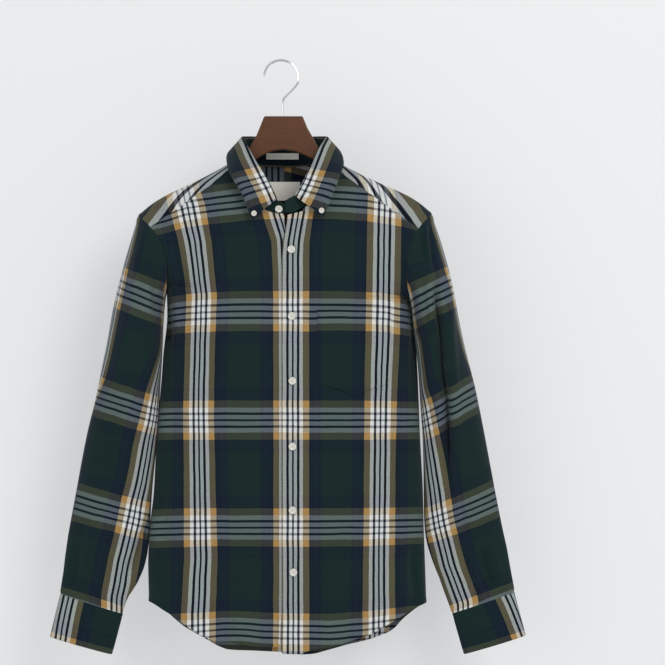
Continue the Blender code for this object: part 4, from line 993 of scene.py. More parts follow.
def flannel():
    m, t, shader = nodes_of("flannel")
    link = t.links.new
    uv = t.nodes.new("ShaderNodeUVMap")
    uv.uv_map = "cloth"
    # a slight wander so that no stripe is ruled
    wander = t.nodes.new("ShaderNodeTexNoise")
    wander.inputs["Scale"].default_value = 0.03
    wander.inputs["Detail"].default_value = 2.0
    link(uv.outputs[0], wander.inputs["Vector"])
    centred = t.nodes.new("ShaderNodeVectorMath")
    centred.operation = "SUBTRACT"
    link(wander.outputs["Color"], centred.inputs[0])
    centred.inputs[1].default_value = (0.5, 0.5, 0.5)
    small = t.nodes.new("ShaderNodeVectorMath")
    small.operation = "SCALE"
    link(centred.outputs[0], small.inputs[0])
    small.inputs["Scale"].default_value = 1.6
    moved = t.nodes.new("ShaderNodeVectorMath")
    moved.operation = "ADD"
    link(uv.outputs[0], moved.inputs[0])
    link(small.outputs[0], moved.inputs[1])
    split = t.nodes.new("ShaderNodeSeparateXYZ")
    link(moved.outputs[0], split.inputs[0])
    layers = []
    for out, sett, repeat in ((split.outputs[0], WARP_SETT, WARP_REPEAT), (split.outputs[1], WEFT_SETT, WEFT_REPEAT)):
        part = math_node(t, "FRACT", math_node(t, "ADD", math_node(t, "DIVIDE", out, repeat), 0.5))
        ramp = ramp_constant(t, sett_stops(sett, repeat))
        link(part, ramp.inputs[0])
        layers.append(ramp)
    # twill: fine diagonal lines where warp floats over weft
    twill = t.nodes.new("ShaderNodeTexWave")
    twill.wave_type = "BANDS"
    twill.bands_direction = "DIAGONAL"
    twill.inputs["Scale"].default_value = 0.42
    twill.inputs["Distortion"].default_value = 0.6
    twill.inputs["Detail"].default_value = 1.0
    link(uv.outputs[0], twill.inputs["Vector"])
    share = math_node(t, "ADD", math_node(t, "MULTIPLY", twill.outputs["Fac"], -0.10), 0.39)
    mix = t.nodes.new("ShaderNodeMix")
    mix.data_type = "RGBA"
    link(share, mix.inputs["Factor"])
    link(layers[0].outputs["Color"], mix.inputs["A"])
    link(layers[1].outputs["Color"], mix.inputs["B"])
    both = math_node(t, "MULTIPLY", layers[0].outputs["Alpha"], layers[1].outputs["Alpha"])
    lift = t.nodes.new("ShaderNodeVectorMath")
    lift.operation = "SCALE"
    lift.inputs[0].default_value = (0.170, 0.100, 0.012)
    link(both, lift.inputs["Scale"])
    total = t.nodes.new("ShaderNodeVectorMath")
    total.operation = "ADD"
    link(mix.outputs["Result"], total.inputs[0])
    link(lift.outputs[0], total.inputs[1])
    # brushed nap: small patches lighter and darker
    nap = t.nodes.new("ShaderNodeTexNoise")
    nap.inputs["Scale"].default_value = 0.9
    nap.inputs["Detail"].default_value = 4.0
    nap.inputs["Roughness"].default_value = 0.7
    link(uv.outputs[0], nap.inputs["Vector"])
    fleck = t.nodes.new("ShaderNodeTexNoise")
    fleck.inputs["Scale"].default_value = 0.42
    fleck.inputs["Detail"].default_value = 3.0
    fleck.inputs["Roughness"].default_value = 0.75
    link(uv.outputs[0], fleck.inputs["Vector"])
    shade = math_node(t, "ADD", math_node(t, "MULTIPLY", nap.outputs["Fac"], 0.30), 0.62)
    shade = math_node(t, "ADD", math_node(t, "MULTIPLY", fleck.outputs["Fac"], 0.44), shade)
    fade = t.nodes.new("ShaderNodeVectorMath")
    fade.operation = "SCALE"
    link(total.outputs[0], fade.inputs[0])
    link(shade, fade.inputs["Scale"])
    true = t.nodes.new("ShaderNodeGamma")
    true.inputs["Gamma"].default_value = 2.2
    link(fade.outputs[0], true.inputs["Color"])
    link(true.outputs[0], shader.inputs["Base Color"])
    shader.inputs["Roughness"].default_value = 0.92
    shader.inputs["Specular IOR Level"].default_value = 0.12
    shader.inputs["Sheen Weight"].default_value = 0.10
    shader.inputs["Sheen Roughness"].default_value = 0.5
    shader.inputs["Sheen Tint"].default_value = (0.75, 0.8, 0.78, 1)
    bump = t.nodes.new("ShaderNodeBump")
    bump.inputs["Strength"].default_value = 0.35
    bump.inputs["Distance"].default_value = 0.0004
    height = math_node(t, "ADD", math_node(t, "MULTIPLY", twill.outputs["Fac"], 0.5), nap.outputs["Fac"])
    link(height, bump.inputs["Height"])
    link(bump.outputs[0], shader.inputs["Normal"])
    return m


def plain_stuff(name, colour, roughness, grain=None, metallic=0.0, sheen=0.0, spread=0.12, bump=0.1, coat=0.0):
    """One colour, broken by a fine procedural grain."""
    m, t, shader = nodes_of(name)
    co = t.nodes.new("ShaderNodeTexCoord")
    noise = t.nodes.new("ShaderNodeTexNoise")
    noise.inputs["Scale"].default_value = grain or 400.0
    noise.inputs["Detail"].default_value = 4.0
    t.links.new(co.outputs["Object"], noise.inputs["Vector"])
    ramp = t.nodes.new("ShaderNodeValToRGB")
    ramp.color_ramp.elements[0].position = 0.25
    ramp.color_ramp.elements[1].position = 0.75
    ramp.color_ramp.elements[0].color = (*[c * (1 - spread) for c in colour], 1)
    ramp.color_ramp.elements[1].color = (*[min(1.0, c * (1 + spread)) for c in colour], 1)
    t.links.new(noise.outputs["Fac"], ramp.inputs[0])
    t.links.new(ramp.outputs[0], shader.inputs["Base Color"])
    b = t.nodes.new("ShaderNodeBump")
    b.inputs["Strength"].default_value = bump
    b.inputs["Distance"].default_value = 0.0003
    t.links.new(noise.outputs["Fac"], b.inputs["Height"])
    t.links.new(b.outputs[0], shader.inputs["Normal"])
    shader.inputs["Roughness"].default_value = roughness
    shader.inputs["Metallic"].default_value = metallic
    shader.inputs["Sheen Weight"].default_value = sheen
    shader.inputs["Coat Weight"].default_value = coat
    return m


def wood_stuff():
    m, t, shader = nodes_of("hanger_wood_stuff")
    link = t.links.new
    co = t.nodes.new("ShaderNodeTexCoord")
    stretch = t.nodes.new("ShaderNodeMapping")
    stretch.inputs["Scale"].default_value = (9.0, 60.0, 90.0)
    stretch.inputs["Rotation"].default_value = (0.0, 0.12, 0.0)
    link(co.outputs["Object"], stretch.inputs["Vector"])
    grain = t.nodes.new("ShaderNodeTexNoise")
    grain.inputs["Scale"].default_value = 1.0
    grain.inputs["Detail"].default_value = 7.0
    grain.inputs["Roughness"].default_value = 0.62
    grain.inputs["Distortion"].default_value = 1.2
    link(stretch.outputs[0], grain.inputs["Vector"])
    ramp = t.nodes.new("ShaderNodeValToRGB")
    ramp.color_ramp.elements[0].position = 0.30
    ramp.color_ramp.elements[0].color = (0.068, 0.0215, 0.0050, 1)
    ramp.color_ramp.elements[1].position = 0.72
    ramp.color_ramp.elements[1].color = (0.102, 0.0330, 0.0080, 1)
    link(grain.outputs["Fac"], ramp.inputs[0])
    link(ramp.outputs[0], shader.inputs["Base Color"])
    shader.inputs["Roughness"].default_value = 0.5
    shader.inputs["Specular IOR Level"].default_value = 0.3
    shader.inputs["Coat Weight"].default_value = 0.05
    shader.inputs["Coat Roughness"].default_value = 0.3
    b = t.nodes.new("ShaderNodeBump")
    b.inputs["Strength"].default_value = 0.06
    b.inputs["Distance"].default_value = 0.0004
    link(grain.outputs["Fac"], b.inputs["Height"])
    link(b.outputs[0], shader.inputs["Normal"])
    return m


FLANNEL_STUFF = flannel()
BUTTON_STUFF = plain_stuff("button_stuff", (0.62, 0.60, 0.55), 0.28, 300.0, spread=0.10, bump=0.03, coat=0.2)
THREAD_STUFF = plain_stuff("thread_stuff", (0.52, 0.50, 0.45), 0.8, 900.0, bump=0.3)
DARK_THREAD = plain_stuff("dark_thread", (0.018, 0.03, 0.03), 0.85, 900.0, bump=0.3)
LABEL_STUFF = plain_stuff("label_stuff", (0.98, 0.94, 0.83), 0.85, 700.0, sheen=0.15, spread=0.10, bump=0.3)
HOOK_STUFF = plain_stuff("hook_stuff", (0.62, 0.62, 0.63), 0.16, 60.0, metallic=1.0, spread=0.05, bump=0.01)
WOOD_STUFF = wood_stuff()

# ------------------------------------------------------------------- fronts
def exact_side(side, grid, low_mid, arm_points):
    """The side seam and the armhole seam as one line down a panel's edge."""
    line = grid.copy()
    for k in range(low_mid):
        z = line[k, 2]
        line[k] = [float(torso(SIDES[side]["edge"], z)), 0.0, z]
    line[low_mid:] = arm_points
    return line


FINE = 6
ACROSS = 3


def front_fine(side):
    low, mid, edge, neck, cols = 8, 14, 8, 9, 26
    g = front_panel(side, cols, low, mid, edge, neck)
    g = cubic(cubic(g, FINE, 0), ACROSS, 1)
    total = (edge + neck) * FINE
    arms = resample([armhole(side, t, 0.0) for t in np.linspace(180, ARM_FRONT, 90)], total + 1)
    line = exact_side(side, g[:, 0].copy(), g.shape[0] - total - 1, arms)
    g = put_edge(g, line, 8)
    return g, (low + mid) * FINE


def hem_rows(grid, from_edge, reach, rise):
    """Extra thickness of a turned hem within reach of an edge, with its stitch line pressed in."""
    t = np.clip(1 - (from_edge - reach) / 1.2, 0, 1)
    groove = np.exp(-((from_edge - reach + 1.6) / 0.8) ** 2)
    return rise * t - 0.45 * groove


flat_sizes = {}
panels = {}
for side in ("right", "left"):
    g, _ = front_fine(side)
    away = np.zeros_like(g)
    away[..., 1] = -1
    n = skin_normals(g, False, away)
    u, v = front_cloth(side, g)
    x, y = seen(g)
    push = crease_depth("body", x, y) + gentle(x, y, 3 if side == "right" else 5, 26.0, 1.1)
    # calm near the front edge, the neck and the seams
    run = arc(g, 1)
    from_side = run
    from_edge = run[:, -1:] - run
    up = arc(g, 0)
    from_hem = up
    from_top = up[-1:] - up
    calm = np.clip(from_side / 10.0, 0, 1) * np.clip(from_top / 25.0, 0, 1) * np.clip(from_edge / 40.0, 0.0, 1)
    push = push * calm
    push = push + hem_rows(g, from_hem, 6.5, 0.5)
    seam = 0.7 * np.exp(-((from_side - 4.0) / 3.0) ** 2) - 0.8 * np.exp(-((from_side) / 1.2) ** 2)
    push = push + seam
    g2 = g + n * push[..., None]
    if side == "left":
        g2 = g2.copy()
    panels[side] = (g, n, u, v, push, g2)
    n2 = skin_normals(g2, False, away)
    wall = CLOTH + hem_rows(g, from_hem, 6.5, 0.6).clip(0)
    obj = cloth_piece("front_%s_cloth" % side, g2, n2, u, v, wall=wall)
    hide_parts("front_" + side)
    flat_sizes[obj.name] = obj

# ------------------------------------------------------------------ placket
def placket_fine():
    rows = []
    zs = np.concatenate([np.linspace(-928, -378, 170, endpoint=False), np.linspace(-378, -243, 60)])
    for i, z in enumerate(zs):
        t = np.linspace(0, 1, 25)
        x0 = float(smooth(PLACKET_EDGE, "z", "x", z))
        x = x0 + (PLACKET_SEAM - x0) * t
        front = float(torso("front", min(z, -375.0)))
        w = float(ease((z + 375.0) / (375.0 - 238.0)))
        yy = -front * (1 - w) - 57.0 * w
        lift = 6.0 * t * float(ease((z + 262.0) / 19.0))
        rows.append(np.stack([x, np.full(25, yy), np.full(25, z) + lift], axis=1))
    g = np.array(rows)
    hem = smooth(HEM_LEFT_FRONT, "x", "z", g[0, :, 0])
    g[:, :, 2] += (hem - g[0, :, 2])[None, :] * np.clip(1 - np.arange(len(zs)) / 20.0, 0, 1)[:, None]
    return g


g = placket_fine()
away = np.zeros_like(g)
away[..., 1] = -1
n = skin_normals(g, False, away)
u, v = front_cloth("left", g)
run = arc(g, 1)
wide = run[:, -1:]
edge = np.minimum(run, wide - run)
push = 0.9 * np.sqrt(np.clip(edge / 1.6, 0, 1)) - 0.55 * np.exp(-((edge - 5.5) / 0.9) ** 2) - 0.35
x, y = seen(g)
push = push + gentle(x, y, 9, 16.0, 0.35)
for b in BUTTONS:
    cy = 61.0 - b["z"] / UNIT
    push = push - 0.7 * np.exp(-((y - cy) / 5.0) ** 2) * np.exp(-((g[..., 0] - b["x"]) / 9.0) ** 2)
up = arc(g, 0)
push = push + hem_rows(g, up, 6.5, 0.4)
g2 = g + n * push[..., None]
obj = cloth_piece("placket_cloth", g2, skin_normals(g2, False, away), u, v)
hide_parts("placket")
flat_sizes[obj.name] = obj

# --------------------------------------------------------------------- back
def back_fine():
    g = back_panel(46, 8, 14, 12)
    g = cubic(cubic(g, FINE, 0), ACROSS, 1)
    total = 12 * FINE
    for side, last in (("right", False), ("left", True)):
        arms = resample([armhole(side, t, 0.0) for t in np.linspace(180, 360 - ARM_BACK, 90)], total + 1)
        col = g[:, -1 if last else 0].copy()
        line = exact_side(side, col, g.shape[0] - total - 1, arms)
        g = put_edge(g, line, 8, last)
    return g


g = back_fine()
away = np.zeros_like(g)
away[..., 1] = 1
n = skin_normals(g, False, away)
x, y = seen(g)
run = arc(g, 1)
mid = run[:, -1:] / 2
# warp sets stay upright down the back, centred on the middle one
u = (run - mid) * 1.0
v = weft_line(np.full_like(x, 335.0), y)
calm = np.clip(run / 14.0, 0, 1) * np.clip((run[:, -1:] - run) / 14.0, 0, 1)
up = arc(g, 0)
calm_top = np.clip((up[-1:] - up) / 16.0, 0, 1)
push = (crease_depth("back", x, y) + gentle(x, y, 11, 24.0, 1.6)) * calm * calm_top
push = push + hem_rows(g, up, 6.5, 0.5)
edge = np.minimum(run, run[:, -1:] - run)
push = push + 0.7 * np.exp(-((edge - 4.0) / 3.0) ** 2) - 0.8 * np.exp(-(edge / 1.2) ** 2)
g2 = g + n * push[..., None]
obj = cloth_piece("back_cloth", g2, skin_normals(g2, False, away), u, v, wall=CLOTH + hem_rows(g, up, 6.5, 0.6).clip(0))
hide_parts("back")
flat_sizes[obj.name] = obj

# --------------------------------------------------------------------- yoke
ARM_CELLS, BACK_CELLS, YOKE_ACROSS = 16, 30, 16
g = yoke_grid(ARM_CELLS, BACK_CELLS, YOKE_ACROSS)
g = cubic(cubic(g, 4, 0), 4, 1)
away = np.zeros_like(g)
away[..., 2] = 1
away[..., 1] = np.where(g[..., 1] > 0, 0.6, -0.6)
n = skin_normals(g, False, away)
rows = g.shape[0]
ridge = ARM_CELLS // 2 * 4
half_rows = rows // 2
# u: from the front seam up to the ridge and down the back
along = np.linspace(0, 1, g.shape[1])
# Where the stripes meet the front seam and the shoulder's ridge, neck to tip.
YOKE_U = table("t seam_r ridge_r seam_l ridge_l", [
    (0.0, -12, 7, -22, -9), (0.15, -9.5, 9, -17, -3), (0.3, -7, 12, -12, 3), (0.45, -2.5, 14.5, -4, 9.5),
    (0.6, 2, 18, 1.5, 16), (0.75, 6.5, 24, 4, 24), (0.88, 9.5, 33, 7, 32), (1.0, 13, 42, 11, 42),
])
for r in YOKE_U:
    r["y"] = r["t"]
u = np.zeros(g.shape[:2])
f_all = np.zeros(g.shape[:2])
for half, sign in (("r", 1), ("l", -1)):
    idx = np.arange(half_rows + 1) if sign > 0 else np.arange(rows - 1, half_rows - 1, -1)
    part = g[idx]
    s = arc(part, 0)
    seam = chart(YOKE_U, "seam_" + half, along)
    top = chart(YOKE_U, "ridge_" + half, along)
    f = np.clip(s / s[ridge][None, :], 0, 1)
    f_all[idx] = f
    front_u = seam[None, :] + (top - seam)[None, :] * f
    droop = 0.62 * np.abs(part[..., 0] - 4.0) / 235.0 * 90.0
    zr = part[ridge, :, 2] + droop[ridge]
    back_u = top[None, :] + (zr[None, :] - (part[..., 2] + droop))
    u[idx] = np.where(s <= s[ridge][None, :], front_u, back_u)
x, y = seen(g)
YOKE_V = table("x seam ridge", [(-245, -281, -271), (-155, -173, -163), (-70, -64, -60), (-17, 0, 0), (75, 92, 92), (150, 161, 171), (245, 269, 279)])
xs = np.array(column(YOKE_V, "x"), float)
v = np.interp(g[..., 0], xs, column(YOKE_V, "seam")) * (1 - f_all) + np.interp(g[..., 0], xs, column(YOKE_V, "ridge")) * f_all
seam_d = np.minimum(arc(g, 0), arc(g, 0)[-1:] - arc(g, 0))
rim_d = arc(g, 1)[:, -1:] - arc(g, 1)
push = 0.7 * np.clip(seam_d / 1.5, 0, 1) - 0.5 * np.exp(-((seam_d - 3.2) / 0.9) ** 2)
push = push + 0.5 * np.exp(-((rim_d - 4.0) / 3.0) ** 2) - 0.8 * np.exp(-(rim_d / 1.2) ** 2)
push = push + gentle(x, y, 15, 22.0, 0.8) * np.clip(seam_d / 12, 0, 1) * np.clip(rim_d / 12, 0, 1)
g2 = g + n * push[..., None]
obj = cloth_piece("yoke_cloth", g2, skin_normals(g2, False, away), u, v)
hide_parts("yoke")
flat_sizes[obj.name] = obj

# ------------------------------------------------------------ sleeves, cuffs
# Along each sleeve: the weft sets' centres down the outer edge, how far they
# fall from the outer edge to the inner, and the line one warp band follows.
SLEEVE_SETS = {"right": [286.5, 396.0, 501.5, 605.0], "left": [285.5, 393.0, 498.0, 600.0]}
SLEEVE_FALL = {"right": table("y d", [(230, 16), (290, 19), (400, 20), (500, 20), (600, 20)]),
               "left": table("y d", [(230, 14), (285, 22), (393, 28), (498, 30), (600, 24)])}
# Two warp bands' edges down each sleeve: the set by the inner edge, and the one
# by the outer edge near the shoulder.
SLEEVE_BAND = {
    "right": (table("y x", [(340, 163), (359, 156), (391, 145.3), (419, 139.5), (438, 134.4), (479, 126.7), (497, 121.6), (528, 115.3), (559, 107.6), (596, 101)]), -HALF,
              table("y x", [(200, 144), (222, 138.7), (256, 131.6), (266, 128.5), (307, 120.5), (370, 107.7)]), -WARP_REPEAT + HALF),
    "left": (table("y x", [(316, 415), (337, 421), (388, 427.5), (401, 432.6), (478, 448), (520, 454), (562, 464.5), (598, 478)]), HALF,
             table("y x", [(200, 425), (222, 431.5), (230, 433.5), (250, 439.5), (270, 444.5), (290, 449.5), (310, 453.5), (340, 460)]), WARP_REPEAT - HALF),
}
BAND_SWAP = {"right": (326, 372), "left": (304, 340)}


# How far the inner edge stands toward the body, by height, in chart units.
SLEEVE_FULL = {
    "right": table("y d", [(290, 0), (320, 1.0), (353, 1.6), (415, 2.4), (460, 2.9), (507, 3.3), (553, 4.3), (570, 4.4), (583, 3.2), (596, 0)]),
    "left": table("y d", [(290, 0), (315, 1.6), (335, 2.3), (410, 1.7), (470, 2.6), (515, 3.5), (545, 3.4), (562, 2.0), (578, 0)]),
}


def sleeve_fine(side):
    rows = SIDES[side]["sleeve"]
    keys = ("ox", "oz", "ix", "iz", "front", "back", "bow")
    raw = np.array([[float(r[k]) for k in keys] for r in rows])
    fine = cubic(raw[:, None, :], 9, 0)[:, 0, :]
    per = 96
    out = []
    for k, r in enumerate(fine):
        row = dict(zip(keys, r))
        out.append([ring_point(row, SIDES[side]["sign"], 360.0 * j / per) for j in range(per)])
    out[0] = [armhole(side, 360.0 * j / per, 0.0) for j in range(per)]
    out = np.array(out)
    # the inner edge hangs full, close beside the body
    lean = (1 - np.cos(np.radians(np.arange(per) * 360.0 / per))) / 2
    _, y = seen(out)
    out[..., 0] -= SIDES[side]["sign"] * UNIT * chart(SLEEVE_FULL[side], "d", y) * lean[None, :] ** 3
    return out


def sleeve_cloth(side, g):
    x, y = seen(g)
    per = g.shape[1]
    turn = np.arange(per) * 360.0 / per
    c = (1 - np.cos(np.radians(turn))) / 2
    fall = chart(SLEEVE_FALL[side], "d", y) * c[None, :]
    yo = y - fall
    sets = SLEEVE_SETS[side]
    v = np.interp(yo, sets, np.arange(len(sets)) * WEFT_REPEAT)
    v = np.where(yo < sets[0], (yo - sets[0]) / (sets[1] - sets[0]) * WEFT_REPEAT, v)
    v = np.where(yo > sets[-1], (len(sets) - 1 + (yo - sets[-1]) / (sets[-1] - sets[-2])) * WEFT_REPEAT, v)
    inner_band, inner_u, outer_band, outer_u = SLEEVE_BAND[side]
    lo_y, hi_y = BAND_SWAP[side]
    sign = SIDES[side]["sign"]
    u = np.empty(g.shape[:2])
    half = per // 2
    way = 1.0 if side == "right" else -1.0
    for i in range(g.shape[0]):
        ring = g[i]
        step = np.linalg.norm(np.diff(np.vstack([ring, ring[:1]]), axis=0), axis=1)
        run = np.concatenate([[0], np.cumsum(step)[:-1]])
        total = run[-1] + step[-1]
        s = run.copy()
        s[half + 1:] = s[half + 1:] - total
        front = np.arange(0, half + 1)
        found = []
        for band, u_at in ((inner_band, inner_u), (outer_band, outer_u)):
            d = (x[i][front] - chart(band, "x", y[i][front])) * sign
            hit = np.where((d[:-1] > 0) & (d[1:] <= 0))[0]
            if len(hit):
                k = hit[0]
                place = run[k] + d[k] / (d[k] - d[k + 1]) * (run[k + 1] - run[k])
            elif d[0] <= 0:
                place = d[0] * UNIT
            else:
                place = run[half] + d[half] * UNIT
            found.append(u_at - way * place)
        level = y[i][: half + 1].mean()
        w1 = float(np.clip((level - lo_y) / 24.0, 0, 1))
        w2 = float(np.clip((level - hi_y) / 40.0, 0, 1))
        near, far = way * (inner_u - found[0]), way * (outer_u - found[1])
        slope = float(np.interp(level, [240, 335], [0.76, 1.0]))
        by_outer = outer_u + way * (s - far) * np.where(s > far, slope, 1.0)
        by_inner = inner_u + way * (s - near)
        share = (inner_u - outer_u) / max(near - far, 20.0)
        by_both = np.where(s < far, outer_u + way * (s - far), np.where(s > near, by_inner, outer_u + share * (s - far)))
        u[i] = by_outer * (1 - w1) + w1 * (by_both * (1 - w2) + by_inner * w2)
    # no ring jumps from the next
    for _ in range(6):
        u[1:-1] = u[1:-1] * 0.5 + (u[:-2] + u[2:]) * 0.25
    return u, v


def tube_piece(name, g, u, v, wall=CLOTH):
    """A tube sewn shut along its inner edge: its grid is opened there so the two cloth edges keep their own stripes."""
    per = g.shape[1]
    half = per // 2
    order = np.concatenate([np.arange(half + 1, per), np.arange(0, half + 1)])
    gg, uu, vv = g[:, order], u[:, order], v[:, order]
    first = g[:, half:half + 1]
    gg = np.concatenate([first, gg], axis=1)
    uu = np.concatenate([2 * uu[:, :1] - uu[:, 1:2], uu], axis=1)
    vv = np.concatenate([vv[:, -1:], vv], axis=1)
    centre = g.mean(axis=1, keepdims=True)
    n = skin_normals(gg, False, gg - centre)
    seam = n[:, 0] + n[:, -1]
    seam /= np.linalg.norm(seam, axis=1, keepdims=True)
    n[:, 0] = seam
    n[:, -1] = seam
    return cloth_piece(name, gg, n, uu, vv, wall=wall)


for side in ("right", "left"):
    g = sleeve_fine(side)
    centre = g.mean(axis=1, keepdims=True)
    n = skin_normals(g, True, g - centre)
    u, v = sleeve_cloth(side, g)
    x, y = seen(g)
    per = g.shape[1]
    turn = np.arange(per) * 360.0 / per
    facing = np.clip(np.sin(np.radians(turn)) * 3.0, 0, 1)[None, :]
    hidden = np.clip(-np.sin(np.radians(turn)) * 3.0, 0, 1)[None, :]
    d = crease_depth("sleeve_" + side, x, y)
    mirror_x = x + 6.0 * np.sin(y / 37.0)
    d2 = crease_depth("sleeve_" + side, mirror_x, y + 14.0) * 0.7
    up = arc(g, 0)
    down = up[-1:] - up
    calm = np.clip(up / 10.0, 0, 1)
    push = (d * facing + d2 * hidden + gentle(x, y, 21 if side == "right" else 23, 14.0, 1.1)) * calm
    # the depth there is to give is less toward the cuff
    push = push * np.clip(down / 60.0 + 0.45, 0, 1)
    # gathers into the cuff
    rad = np.radians(turn)[None, :]
    pleat = np.sin(rad * 13 + 1.0 * np.sin(rad * 3 + (1.2 if side == "left" else 0.2))) * 0.6 + np.sin(rad * 7 + 2.0) * 0.4
    push = push + pleat * 1.3 * np.exp(-(down / 22.0) ** 1.2) * np.clip(down / 4.0, 0, 1)
    push = push + 0.9 * np.exp(-((up - 5.0) / 4.5) ** 2) - 0.9 * np.exp(-(up / 1.5) ** 2)
    g2 = g + n * push[..., None]
    obj = tube_piece("sleeve_%s_cloth" % side, g2, u, v)
    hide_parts("sleeve_" + side)
    flat_sizes[obj.name] = obj

    # cuff
    rows_n, per = 36, 96
    g = cuff_grid(side, per, rows_n)
    centre = g.mean(axis=1, keepdims=True)
    n = skin_normals(g, True, g - centre)
    x, y = seen(g)
    # flat distance in from the outer edge
    across = np.linalg.norm((g - g[:, :1])[..., [0, 2]], axis=2)
    ring = np.concatenate([g, g[:, :1]], axis=1)
    run = arc(ring, 1)[:, :-1]
    per_len = arc(ring, 1)[:, -1:]
    s = np.where(run > per_len / 2, run - per_len, run)
    t = np.linspace(0, 1, rows_n + 1)[:, None]
    if side == "right":
        u = (s - (17.0 + 3.0 * t))
        v = 84.0 + t * 62.0 + s * 0.0
    else:
        u = -(s - (10.0 - 9.0 * t))
        v = 84.0 + t * 62.0 + s * 0.0
    up = arc(g, 0)
    edge = np.minimum(up, up[-1:] - up)
    push = 0.9 * np.sqrt(np.clip(edge / 1.8, 0, 1)) - 0.5 * np.exp(-((edge - 5.5) / 0.9) ** 2) - 0.5
    push = push + gentle(x, y, 31 if side == "right" else 33, 12.0, 0.5)
    g2 = g + n * push[..., None]
    obj = tube_piece("cuff_%s_cloth" % side, g2, u, v, wall=1.5)
    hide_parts("cuff_" + side)
    flat_sizes[obj.name] = obj

# ------------------------------------------------------------------- collar
HALF_COUNT = 60
base = neck_base(HALF_COUNT)
top = round_neck(collar_line("right", "f", HALF_COUNT), collar_line("left", "f", HALF_COUNT))
edge_line = round_neck(collar_line("right", "e", HALF_COUNT), collar_line("left", "e", HALF_COUNT))
lift = np.array([0, 0, 1.3])


def end_rows(rows, n):
    b = spline([[r["bx"], r["by"], r["bz"]] for r in rows], n)
    t = spline([[r["tx"], r["ty"], r["tz"]] for r in rows], n)
    return b, t


stand = []
first_b, first_t = [], []
for b, t in zip(base, top):
    inward = np.array([4.0 - b[0], -4.0 - b[1], 0.0])
    inward *= 1.2 / np.linalg.norm(inward)
    stand.append([b + lift + inward, t + np.array([0.0, 0.0, -1.2])])
stand = np.array(stand)
right_b = [np.array([r["bx"], r["by"], r["bz"]]) + lift for r in STAND_END_RIGHT]
right_t = [np.array([r["tx"], r["ty"], r["tz"]]) for r in STAND_END_RIGHT]
left_b = [np.array([r["bx"], r["by"], r["bz"]]) + lift for r in STAND_END_LEFT[::-1]]
left_t = [np.array([r["tx"], r["ty"], r["tz"]]) for r in STAND_END_LEFT[::-1]]
low_line = spline(right_b + list(stand[::6, 0]) + left_b, 260)
high_line = spline(right_t + list(stand[::6, 1]) + left_t, 260)
ts = np.linspace(0, 1, 17)
g = low_line[:, None, :] * (1 - ts)[None, :, None] + high_line[:, None, :] * ts[None, :, None]
away = g - np.array([4.0, -4.0, 0.0])
away[..., 2] = 0
n = skin_normals(g, False, away)
run = arc(g, 0)
round_ = run / run[-1:]
behind = np.clip(np.minimum(round_ - 0.16, 0.84 - round_) / 0.05, 0, 1)
u = -(24.0 + ts[None, :] * 42.0) * behind - (48.0 + ts[None, :] * 20.0) * (1 - behind)
v = 84.0 + 14.0 * np.sin(run / 90.0)
push = -0.35 * np.exp(-((ts[None, :] * 40 - 3.0) / 0.9) ** 2) + np.zeros(g.shape[:2])
g2 = g + n * push[..., None]
# behind the neck the band's lower edge tucks just inside the yoke's
tuck = np.clip(1 - np.asarray(ts) / 0.14, 0, 1)[None, :] * np.clip(g[:, :1, 1] / 20.0, 0, 1)
g2[..., 2] -= 3.4 * tuck
obj = cloth_piece("collar_stand_cloth", g2, skin_normals(g2, False, away), u, v, wall=1.4)
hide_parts("collar_stand")
flat_sizes[obj.name] = obj

# leaf
profile = []
out = np.stack([top[:, 0] - 4.0, top[:, 1] + 4.0, np.zeros(len(top))], axis=1)
out /= np.linalg.norm(out, axis=1, keepdims=True)
down = edge_line - top
rows_leaf = []
for f, e, o, d in zip(top, edge_line, out, down):
    pts = [f + o * 0.6 + np.array([0, 0, 2.4]), f + o * 4.2 + np.array([0, 0, 1.4])]
    pts += [f + o * 4.6 + d * t + o * 3.0 * math.sin(math.pi * t) for t in (0.2, 0.5, 0.78)] + [e]
    rows_leaf.append(spline(pts, 34))
g = np.array(rows_leaf)
away = np.zeros_like(g)
away[:] = (g[:, 10:11] - np.array([4.0, -4.0, 0.0]))
away[..., 2] = 0
n = skin_normals(g, False, away)
n[:, 0] = np.array([0, 0, 1.0]) * 0.9 + n[:, 0] * 0.1
n[:, 0] /= np.linalg.norm(n[:, 0], axis=1, keepdims=True)
s = arc(g, 1)
length = arc(g[:, 6:7], 0)[:, 0]
total_len = length[-1]
rows = g.shape[0]
k = np.arange(rows)
LEAF = table("side start centre", [("right", -2.0, -188.6), ("left", -2.0, -191.5)])
# distance along the fold from the place where the crossing set is centred
zf = g[:, 3, 2]
half_i = rows // 2
cr = np.argmin(np.abs(zf[:half_i] + 188.6))
cl = half_i + np.argmin(np.abs(zf[half_i:] + 191.5))
v_r = length - length[cr]
v_l = -(length - length[cl])
w = np.clip((k - half_i) / 20.0 + 0.5, 0, 1)
v_line = v_r * (1 - w) + v_l * w
v = np.repeat(v_line[:, None], g.shape[1], axis=1)
start_line = np.interp(length / total_len, [0, 0.06, 0.14, 0.24, 0.4, 0.6, 0.76, 0.86, 0.94, 1.0], [-4.0, -2.0, 2.5, 7.0, 9.0, 9.0, 5.0, 1.0, -3.0, -5.0])
u = start_line[:, None] + s * 0.95
v = v - 0.30 * (s - 18.0)
edge_d = np.minimum(s[:, -1:] - s, np.minimum(length, total_len - length)[:, None])
push = 0.5 * np.sqrt(np.clip(edge_d / 1.5, 0, 1)) - 0.45 * np.exp(-((edge_d - 5.5) / 0.9) ** 2) * (s > 8)
g2 = g + n * push[..., None]
obj = cloth_piece("collar_leaf_cloth", g2, skin_normals(g2, False, away), u, v, wall=1.4)
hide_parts("collar_leaf")
flat_sizes[obj.name] = obj

# ------------------------------------------------------------------- pocket
front_g, front_n, fu, fv, fpush, front2 = panels["left"]


